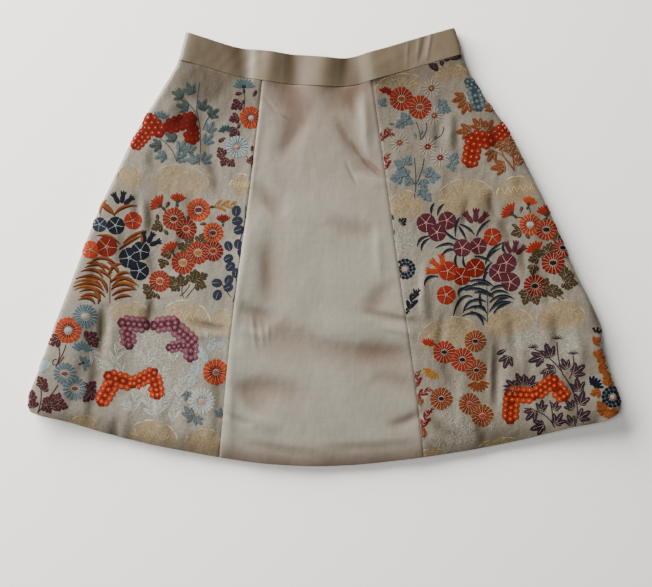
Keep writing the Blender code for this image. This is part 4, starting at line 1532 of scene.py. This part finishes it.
def right_pattern() -> BrocadePattern:
    """Draw the pattern of the panel at the viewer's right, row by row from the waist.

    Returns:
        The pattern.
    """
    pattern = BrocadePattern("front_right", 9.0, tuple(Hill(*row) for row in (
        (400, 90, 27, 16), (448, 78, 20, 13), (473, 72, 14, 12), (407, 211, 20, 21),
        (465, 203, 32, 25), (517, 196, 22, 20, True), (450, 340, 34, 24), (508, 328, 27, 21),
        (560, 322, 26, 23), (500, 446, 22, 8), (430, 457, 18, 8),
    )), (Mist(545, 342, 52, 26), Mist(462, 430, 24, 24), Mist(405, 240, 16, 22)))
    draw = Motifs(pattern.plane)
    pattern.draw_hills()

    # Under the band: dark leaf tips that the seam cuts
    draw.leaves(
        Thread.AUBERGINE, (432.5, 66, -50, 17, 1), (441, 63, -78, 10, 1), (447, 60.5, 200, 8, 1),
        (455, 58.3, 17, 13, 1))

    # First row: red and pale flowers, a teal bush, and dotted cloths among russet leaves
    draw.leaves(
        Thread.TEAL, (383, 102, 60, 8), (404, 117, 120, 9), (409, 122, -30, 8), (399, 125, 210, 8),
        (391, 124, 180, 6, 1), (442, 104, 30, 9), (446, 110, -20, 9), (439, 112, 220, 8),
        (415, 136, 95, 7, 1), (421, 133, 60, 6, 1), (435, 137, 250, 6, 1), (454, 158, 60, 10),
        (452, 167, -70, 9), (399, 164, 150, 10), (408, 160, 60, 9), (396, 178, 190, 11),
        (404, 172, 120, 9), (408, 182, 230, 9), (428, 172, 60, 10), (435, 177, 0, 10),
        (423, 185, -80, 10), (423, 194, -60, 10), (428, 198, -50, 8))
    draw.stems(
        Thread.SLATE, 0.9, (414, 198, 417, 180, 414, 158), (416, 184, 422, 172, 424, 158),
        (416, 186, 410, 178, 404, 170), (418, 190, 422, 196, 426, 200),
        (426, 123, 428, 132, 420, 140), (416, 122, 420, 132, 420, 140),
        (443, 127, 444, 136, 436, 138))
    draw.fans((385, 95, 8, 70, Thread.CRIMSON), petals=7, span=150)
    draw.blooms(
        (401, 99, 13, Thread.SCARLET, Thread.RUST), (419.5, 107.5, 13, Thread.SCARLET, Thread.RUST),
        heart=Thread.BRICK, eye=0.3)
    # Pale daisies, each with a small red or russet flower at its middle
    for px, py, eye in ((431, 89, Thread.RUST), (434, 116, Thread.RUST), (399.5, 143, Thread.RUST),
                        (427.5, 147, Thread.CRIMSON), (440, 158, Thread.CRIMSON)):
        draw.blooms((px, py, 11, Thread.ECRU, Thread.ECRU), edge=Thread.ECRU, petals=14, slim=0.36,
                    full=False, eye=0.08)
        draw.blooms((px, py, 4, eye, Thread.OCHRE), petals=7, slim=0.8, full=False, eye=0.12)
    draw.sprays(
        Thread.CRIMSON, (384, 135, 50, 18), (379, 141, 10, 10), (386, 163, 80, 20),
        (390, 134, -20, 10), (381, 152, 100, 8), slim=0.26)
    draw.dotted(
        Thread.TEAL, Thread.SLATE, Thread.MIST, (469, 84, 473, 87, 5.5), (472, 88, 477, 105, 7.5))
    draw.leaves(
        Thread.RUST, (458, 100, 200, 12), (464, 109, 250, 12), (487, 108, 150, 8),
        (490, 111, 200, 7, 1), (476, 124, 130, 11), (489, 126, 60, 11), (463, 132, 185, 13),
        (490, 157, 240, 11), (498, 146, 200, 9), (508, 141, 80, 9), (511, 151, 60, 10),
        (517, 160, 80, 10), (497, 168, 190, 13), (505, 148, 150, 8))
    draw.stems(
        Thread.RUST, 1, (513, 171, 504, 162, 500, 150), (513, 171, 512, 162, 511, 152),
        (512, 169, 500, 150, 488, 151), (486, 134, 484, 126, 482, 122))
    draw.dotted(
        Thread.SCARLET, Thread.BRICK, Thread.APRICOT, (474, 139, 487, 141, 9),
        (473, 143, 470, 160, 9))
    draw.dotted(Thread.SCARLET, Thread.BRICK, Thread.APRICOT, (497, 136, 503, 130, 7.5))

    # Second row: bellflowers over dark grass, red chrysanthemums, and dark leaves by the seam
    draw.leaves(Thread.NAVY, (403, 221, 45, 7), (391, 217, 80, 5), (393, 232, 60, 4))
    draw.blades(
        Thread.NAVY, 2.7, (431, 214, 430, 207, 434, 203), (437, 215, 438, 207, 444, 204),
        (455, 236, 454, 222, 460, 217), (474, 234, 468, 226, 459, 224),
        (466, 240, 462, 230, 458, 226), (476, 236, 480, 224, 490, 220),
        (417, 246, 418, 236, 430, 236), (421, 250, 420, 242, 430, 238),
        (458, 240, 448, 236, 444, 230), (455, 246, 448, 240, 435, 248),
        (455, 250, 446, 246, 440, 258), (457, 252, 452, 262, 458, 268),
        (463, 256, 462, 264, 466, 268), (474, 256, 484, 256, 490, 262),
        (486, 260, 488, 248, 504, 242), (485, 264, 486, 254, 500, 248),
        (484, 276, 484, 268, 492, 262), (438, 276, 424, 274, 424, 286),
        (503, 243, 500, 248, 506, 254), under=Thread.SLATE)
    draw.blades(
        Thread.NAVY, 2.9, (469, 281, 483, 276, 494, 287), (464, 290, 478, 284, 494, 296),
        (472, 296, 458, 292, 453, 316), (476, 300, 466, 299, 463, 313),
        (487, 313, 478, 300, 464, 311), (486, 320, 476, 308, 462, 316),
        (483, 325, 482, 314, 470, 311), (489, 296, 497, 286, 509, 294),
        (489, 302, 501, 290, 514, 299), (489, 311, 497, 299, 512, 302),
        (493, 313, 500, 303, 510, 303), (459, 296, 456, 288, 466, 287),
        (474, 292, 484, 290, 494, 298), (484, 282, 482, 274, 488, 272),
        (470, 286, 480, 280, 490, 286), (468, 303, 476, 296, 486, 302),
        (474, 308, 482, 302, 486, 312), (480, 292, 478, 300, 482, 308),
        (490, 290, 498, 282, 508, 288), (492, 306, 500, 296, 508, 298),
        (472, 286, 466, 284, 460, 292), under=Thread.SLATE)
    draw.stems(Thread.SLATE, 0.9, (487, 322, 488, 304, 486, 282))
    draw.buds(Thread.MAROON, (475, 227, 88, 20), (512, 257, 78, 18))
    draw.buds(Thread.ORANGE, (444, 272, 138, 20))
    draw.bells(
        (426, 223, 9.8, 95, Thread.MAROON), (447, 220.6, 9.2, 80, Thread.MAROON),
        (437, 232.5, 9.2, 100, Thread.MAROON), (462, 248, 9, 85, Thread.MAROON),
        (478, 246, 8.6, 100, Thread.MAROON), (506, 263, 10, 85, Thread.MAROON),
        (498, 272.5, 9.6, 110, Thread.MAROON), (510, 282, 9.6, 75, Thread.MAROON),
        (492, 237, 9, 60, Thread.SCARLET), (448, 271, 10, 80, Thread.SCARLET),
        (461.5, 276.5, 9, 100, Thread.BRICK), (475, 268, 9.8, 90, Thread.BRICK),
        (446, 295, 9.6, 75, Thread.SCARLET))
    draw.pompons((405, 269, 11.5))
    draw.sprays(
        Thread.NAVY, (412, 301, 72, 22), (416, 294, 60, 12), (407, 311, 80, 9), pairs=6, slim=0.34)
    draw.leaves(
        Thread.OLIVE, (514, 226, 160, 7, 1), (515, 233, 200, 9), (526, 236, -50, 8, 1),
        (520, 210, 70, 7, 1), (543, 220, 20, 6, 1), (548, 248, 70, 10), (541, 253, 180, 9),
        (532, 259, 200, 9), (532, 270, 260, 9), (523, 293, 180, 9), (525, 300, 250, 9),
        (535, 300, -70, 9), (544, 283, 60, 10), (550, 289, 30, 11), (556, 292, -10, 10),
        (543, 293, -60, 8), (563, 271, 100, 10), (567, 278, 40, 11), (571, 283, 0, 9),
        (565, 286, -60, 8), (556, 238, 80, 8))
    draw.stems(
        Thread.OLIVE, 0.9, (558, 290, 558, 296, 562, 299), (552, 294, 554, 298, 558, 300),
        (510, 215, 516, 218, 522, 218), (529, 214, 529, 210, 527, 206),
        (536, 254, 540, 258, 546, 262))
    draw.blooms(
        (529, 225, 12, Thread.ORANGE, Thread.WHITE), (561, 248, 11, Thread.CRIMSON, Thread.NAVY),
        (545, 230, 12, Thread.SCARLET, Thread.NAVY),
        (551.5, 263, 12.5, Thread.CRIMSON, Thread.NAVY),
        (534, 286, 12.5, Thread.CRIMSON, Thread.NAVY), heart=Thread.BRICK, eye=0.32)
    draw.fans(
        (512, 215, 12, 140, Thread.SCARLET), (527, 206, 9.5, 75, Thread.ORANGE),
        (545, 217, 12, 95, Thread.SCARLET), (536, 253, 12, 120, Thread.SCARLET), calyx=Thread.OLIVE)

    # Third row: chrysanthemums and silver sprays, a plum branch over a dotted bow, the edge's column
    draw.sprays(
        Thread.ECRU, (447, 420, 100, 30), (458, 428, 75, 30), (436, 440, 110, 24),
        (470, 434, 60, 26), (448, 445, 80, 24), (441, 372, 120, 12), (452, 384, 60, 18),
        (460, 392, 100, 16), (430, 354, 100, 10), (486, 372, 80, 14), (421, 404, 90, 12),
        (492, 424, 85, 16), slim=0.15)
    draw.fans((427, 347, 9, 75, Thread.SCARLET))
    draw.blooms(
        (444, 352, 12.5, Thread.SCARLET, Thread.NAVY),
        (462, 359.5, 13, Thread.SCARLET, Thread.NAVY), (475, 341, 12, Thread.RUST, Thread.NAVY),
        (476, 370, 12, Thread.RUST, Thread.NAVY), (441, 398.5, 12.5, Thread.RUST, Thread.NAVY),
        (469, 403.5, 12, Thread.RUST, Thread.ORANGE),
        (482, 415.5, 12.5, Thread.RUST, Thread.ORANGE), heart=Thread.BRICK, eye=0.26)
    draw.fans((478, 380, 12, -85, Thread.RUST), petals=8, span=150)
    draw.fans((433, 369, 10, -120, Thread.OCHRE), petals=7, span=140)
    draw.sprays(
        Thread.CRIMSON, (417, 380, 85, 20), (424, 392, 25, 17), (418, 396, 150, 9),
        (425, 420, 72, 22), (430, 411, 40, 10), (423, 430, 110, 10), slim=0.26)
    draw.round_leaves(Thread.RUST, (420, 402, 90, 4), (423, 433, 90, 4))
    draw.stems(
        Thread.AUBERGINE, 1.2, (574, 426, 582, 400, 561, 373), (561, 373, 556, 358, 556, 342),
        (561, 372, 550, 356, 534, 349), (568, 378, 574, 366, 571, 355),
        (554, 427, 546, 410, 524, 408), (552, 424, 552, 410, 549, 400))
    draw.leaves(
        Thread.AUBERGINE, (501, 352, 210, 11, 1), (506, 362, 250, 12), (547, 350, 110, 13),
        (535, 359, 200, 13), (548, 370, 190, 11), (563, 363, 120, 10), (577, 369, 40, 13),
        (576, 384, 100, 12), (580, 397, 75, 13), (583, 414, 35, 12), (568, 404, 130, 10),
        (508, 388, 180, 14), (519, 379, 120, 12), (531, 381, 60, 12), (541, 405, 80, 10),
        (530, 415, 230, 12), (537, 427, 200, 13), (558, 418, 60, 12), (569, 419, 120, 10),
        (555, 405, 70, 9), (545, 374, 250, 9))
    # Small flowers of seven fine rays, over the plum branch
    for px, py in ((532, 348), (556, 339), (571, 354)):
        for aim in range(15, 190, 25):
            x, y = 6.0 * math.cos(math.radians(aim)), -5.0 * math.sin(math.radians(aim))
            draw.blades(Thread.AUBERGINE, 0.8, (px, py, px + x / 2.0, py + y / 2.0, px + x, py + y))
    draw.dotted(
        Thread.ORANGE, Thread.BRICK, Thread.APRICOT, (512, 394, 529, 395, 8.5),
        (511, 399, 510, 416, 8.5))
    draw.dotted(
        Thread.ORANGE, Thread.BRICK, Thread.APRICOT, (538, 392, 551, 381, 7.5),
        (551, 382, 561, 394, 8.5))
    draw.leaves(
        Thread.COPPER, (595, 340, 30, 8), (597, 353, 60, 9), (601, 367, 0, 9), (606, 380, 80, 9),
        (593, 392, 200, 9), (599, 405, 130, 10), (604, 413, -60, 9), (612, 412, -30, 9),
        (600, 360, -60, 8), (604, 374, 120, 8), rib=Thread.OCHRE)
    draw.buds(Thread.NAVY, (594, 334, 75, 8))
    draw.fans((589, 387, 12, 50, Thread.NAVY), petals=6, span=110, edge=Thread.MIST)
    draw.pompons((610, 396, 12))
    return pattern


def spaced(length: float, spacing: float, near: Row) -> Array:
    """Step along a length, with closer steps near both ends.

    Args:
        length: The length.
        spacing: About how far apart the steps are.
        near: The distances from both ends of the closer ones.

    Returns:
        The steps, as shares from 0 to 1.
    """
    even = np.linspace(0.0, 1.0, max(2, round(length / spacing)) + 1)
    close = [distance / length for distance in near]
    shares = np.concatenate([even, close, [1.0 - share for share in close]])
    return np.array(sorted(set(np.round(shares, 6))))


def meeting(outline: Line, edge: Line) -> Spot:
    """Find where an edge that runs down meets an outline that runs across.

    Args:
        outline: The rule that gives the outline's y.
        edge: The rule that gives the edge's x.

    Returns:
        The spot where they meet.
    """
    y = float(outline(np.array(0.0)))
    for _ in range(SETTLING_STEPS):
        y = float(outline(edge(np.array(y))))
    return float(edge(np.array(y))), y


@dataclass(frozen=True)
class Shell:
    """The visible cloth of one sewn piece: a thin wall over its solid, with every crease."""

    plan: PanelPlan
    fold_steps: int = 9
    close_columns: Row = (0.5, 1.1)
    close_rows: Row = (0.6, 1.4)

    def grid(self) -> tuple[Array, Array, Array]:
        """Place the piece's outer face, as rows down it and columns across.

        Returns:
            The x, y and z of each point.
        """
        plan, gap, power = self.plan, FORM.seam_gap / 2.0, 2.0 / FORM.squareness
        tops, bottoms = ([meeting(outline, edge) for edge in (plan.left, plan.right)]
                         for outline in (plan.top, plan.bottom))
        falls = spaced(abs(tops[1][1] - bottoms[1][1]), plan.spacing, self.close_rows)[:, None]
        y_left, y_right = (top[1] + (bottom[1] - top[1]) * falls for top, bottom in zip(tops, bottoms))
        x_left = plan.left(y_left)
        width = plan.right(y_right) - x_left
        outer_radius = FORM.radius((y_left + y_right) / 2.0) + plan.wall / 2.0
        trims = [outer_radius if fold else np.full_like(width, gap) for fold in plan.folds]

        # Columns as distances from the left edge, and the angle of each round a side fold
        flat = spaced(float(width.mean()), plan.spacing, self.close_columns)[None, :]
        angles = (np.arange(self.fold_steps) + 1.0) / self.fold_steps * math.pi / 2.0
        bend = outer_radius * (1.0 - np.sin(angles) ** power)
        columns, turns = [trims[0] + flat * (width - trims[0] - trims[1])], [np.zeros(flat.size)]
        if plan.folds[0]:
            columns.insert(0, bend[:, ::-1])
            turns.insert(0, angles[::-1])
        if plan.folds[1]:
            columns.append(width - bend)
            turns.append(angles)
        share = np.concatenate(columns, axis=1) / width
        upright = np.maximum(np.cos(np.concatenate(turns)), 0.0) ** power
        drop = np.minimum(outer_radius * (1.0 - upright), outer_radius - gap)

        # The edges' own curves are added to the straight lines between the corners
        x = x_left + width * share
        y = y_left + (y_right - y_left) * share
        for outline, ends, weight in ((plan.top, tops, 1.0 - falls), (plan.bottom, bottoms, falls)):
            start, end = ends[0][0], ends[1][0]
            first, last = outline(np.array(start)), outline(np.array(end))
            y = y + (outline(start + (end - start) * share) - (first + (last - first) * share)) * weight
        return x, y, drop if plan.is_back else FORM.level(x, y) + plan.wall - drop

    def build(self, finish: bpy.types.Material, tones: Tones | None) -> bpy.types.Object:
        """Model the piece: a grid laid on the form, then its thickness.

        Args:
            finish: The cloth's material.
            tones: Gives the shares of the ground's other wefts by name, on a brocade panel.

        Returns:
            The finished object.
        """
        plan = self.plan
        x, y, z = self.grid()
        rows, columns = x.shape
        drawing = bmesh.new()
        bmesh.ops.create_grid(drawing, x_segments=columns - 1, y_segments=rows - 1, size=1.0)
        mesh = mesh_of(drawing, plan.name + "_cloth")
        flat = places_of(mesh)
        column = np.rint((flat[:, 0] + 1.0) / 2.0 * (columns - 1)).astype(int)
        row = np.rint((1.0 - flat[:, 1]) / 2.0 * (rows - 1)).astype(int)
        points = np.stack([x[row, column], y[row, column], z[row, column]], axis=-1) * MM
        mesh.vertices.foreach_set("co", points.astype(np.float32).ravel())
        shares = tones(x, y) if tones else {}
        # Fronts hold the painted shade share, by which their colour darkens in folds, under the band and
        # in the hem's turn
        if not plan.is_back:
            shares["painted_shade"] = FORM.painted_shade(x, y)
        for name, values in shares.items():
            keep_share(mesh, name, values[row, column])
        if plan.is_back:
            mesh.flip_normals()
        mesh.update()
        piece = finished(mesh, finish)
        thick = piece.modifiers.new("thickness", "SOLIDIFY")
        thick.thickness = plan.wall * MM
        thick.offset = -1.0
        thick.use_even_offset = False
        return piece


@dataclass(frozen=True)
class Skirt:
    """The whole skirt: its sewn pieces, the pattern woven into two of them, and their finishes."""

    # Each satin: its name, its colour, its streak tone, and the colour of its painted shade in the folds
    satin: SatinFinish = SatinFinish("greige_silk_satin_woven", "#716c61", "#7c776c", "#554031")
    band_satin: SatinFinish = SatinFinish(
        "taupe_silk_satin_pressed", "#5c5142", "#554937", "#35270f", roughness=0.46, specular=0.5,
        crumple=0.15)
    brocade: BrocadeGround = BrocadeGround()

    @staticmethod
    def plans() -> dict[str, PanelPlan]:
        """The eight sewn pieces as seen from above.

        Returns:
            Their plans by name.
        """
        gap, inset, fade = FORM.seam_gap / 2.0, FORM.back_inset, FORM.inset_fade
        waist, over_waist = (partial(edge_at, WAIST_SEAM, offset, 0.0) for offset in (-gap, gap))
        hem, back_hem = partial(height_at, HEM), partial(edge_at, HEM, inset, fade)
        band_top, back_top = partial(height_at, BAND_TOP), partial(edge_at, BAND_TOP, -inset, fade)
        left, right, back = (partial(across_at, seam) for seam in (LEFT_SEAM, RIGHT_SEAM, BACK_SEAM))
        rows = (
            ("front_left", waist, hem, LEFT_FOLD, left, 1.7, 0.215, 0.43, 0.061),
            ("front_centre", waist, hem, left, right, 1.6, 0.22, 0.412, 0.068),
            ("front_right", waist, hem, right, RIGHT_FOLD, 1.7, 0.215, 0.43, 0.064),
            ("back_left", waist, back_hem, LEFT_FOLD, back, 5.0, 0.33, 0.43, 0.096),
            ("back_right", waist, back_hem, back, RIGHT_FOLD, 5.0, 0.33, 0.43, 0.098),
            ("waistband_front", band_top, over_waist, LEFT_FOLD, RIGHT_FOLD, 1.2, 0.32, 0.0305, 0.00965),
            ("waistband_back_left", back_top, over_waist, LEFT_FOLD, back, 3.0, 0.165, 0.03, 0.0049),
            ("waistband_back_right", back_top, over_waist, back, RIGHT_FOLD, 3.0, 0.165, 0.03, 0.0049),
        )
        return {row[0]: PanelPlan(*row[:6], CutSize(*row[6:])) for row in rows}

    def build(self) -> None:
        """Build and dress every piece, hide its part from the model, and attach it to the root body."""
        finishes = {"satin": self.satin.material(), "band_satin": self.band_satin.material(),
                    "brocade": self.brocade.material()}
        patterns = {"front_left": left_pattern(), "front_right": right_pattern()}
        for name, plan in self.plans().items():
            pattern = patterns.get(name)
            slot = "brocade" if pattern else "band_satin" if plan.is_band else "satin"
            piece = Shell(plan).build(finishes[slot], pattern.ground if pattern else None)
            threads = pattern.plane.weave(plan) if pattern else []
            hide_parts(name)
            for part in [piece, *threads]:
                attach(part, "root")
            LOG.info("%s: %d faces, %d threads", piece.name, len(piece.data.polygons), len(threads))


@dataclass(frozen=True)
class SoftLight:
    """A large soft light: where it stands, what it faces, its size in metres, and its power."""

    name: str
    place: Row
    target: Row
    width: float
    height: float
    power: float
    colour: str

    def add(self) -> None:
        """Add the light to the scene."""
        data = bpy.data.lights.new(self.name, "AREA")
        data.shape = "RECTANGLE"
        data.size, data.size_y = self.width, self.height
        data.energy = self.power
        data.color = linear_colour(self.colour)[:3]
        lamp = bpy.data.objects.new(self.name, data)
        lamp.location = self.place
        aim = Vector(self.target) - Vector(self.place)
        lamp.rotation_euler = aim.to_track_quat("-Z", "Y").to_euler()
        bpy.context.scene.collection.objects.link(lamp)


@dataclass(frozen=True)
class Studio:
    """A plain pale floor, soft daylight from the upper left, and a camera straight above."""

    lights: tuple[SoftLight, ...] = (
        SoftLight("window_light", (-1.68, 1.76, 0.89), (0.0, 0.0, 0.0), 2.7, 1.35, 396.0, "#fffbf5"),
        SoftLight("sheen_light", (-0.5, -0.1, 1.35), (0.0, -0.1, 0.0), 0.6, 0.6, 10.0, "#fffef8"),
    )
    surround: str = "#f2f2f0"
    surround_strength: float = 0.15
    lens_mm: float = 50.0
    sensor_mm: float = 36.0
    floor_colour: str = "#f8f7f5"
    floor_roughness: float = 0.9
    floor_specular: float = 0.1
    floor_half_size: float = 6.0
    floor_drop: float = 0.0002

    def add_floor(self) -> None:
        """Add the floor: a large sheet of matt white paper."""
        drawing = bmesh.new()
        bmesh.ops.create_grid(drawing, x_segments=1, y_segments=1, size=self.floor_half_size)
        # Paper, pressed matt: it gives the eye an even pale floor without a glint
        material, tree, shader = new_material("white_paper_matt")
        feed(tree, shader, {
            "Base Color": linear_colour(self.floor_colour), "Roughness": self.floor_roughness,
            "Specular IOR Level": self.floor_specular})
        floor = finished(mesh_of(drawing, "floor"), material)
        floor.location.z = -self.floor_drop

    def add_light(self) -> None:
        """Add the soft lights and a pale surround."""
        world = bpy.data.worlds.new("studio")
        world.use_nodes = True
        surround = world.node_tree.nodes["Background"]
        surround.inputs["Color"].default_value = linear_colour(self.surround)
        surround.inputs["Strength"].default_value = self.surround_strength
        bpy.context.scene.world = world
        for light in self.lights:
            light.add()

    def add_camera(self) -> None:
        """Add the camera straight above the middle of the photograph's frame."""
        x, y = photo_place(IMAGE_WIDTH_PX / 2.0, IMAGE_HEIGHT_PX / 2.0)
        data = bpy.data.cameras.new("camera")
        data.lens = self.lens_mm
        data.sensor_width = self.sensor_mm
        distance = IMAGE_WIDTH_PX * MM_PER_PX * MM * self.lens_mm / self.sensor_mm
        camera = bpy.data.objects.new("camera", data)
        camera.location = (x * MM, y * MM, distance + FORM.middle_height * MM)
        bpy.context.scene.collection.objects.link(camera)
        bpy.context.scene.camera = camera


def main() -> None:
    """Build the skirt and the studio."""
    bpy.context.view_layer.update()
    Skirt().build()
    studio = Studio()
    studio.add_floor()
    studio.add_light()
    studio.add_camera()


if __name__ == "__main__":
    main()
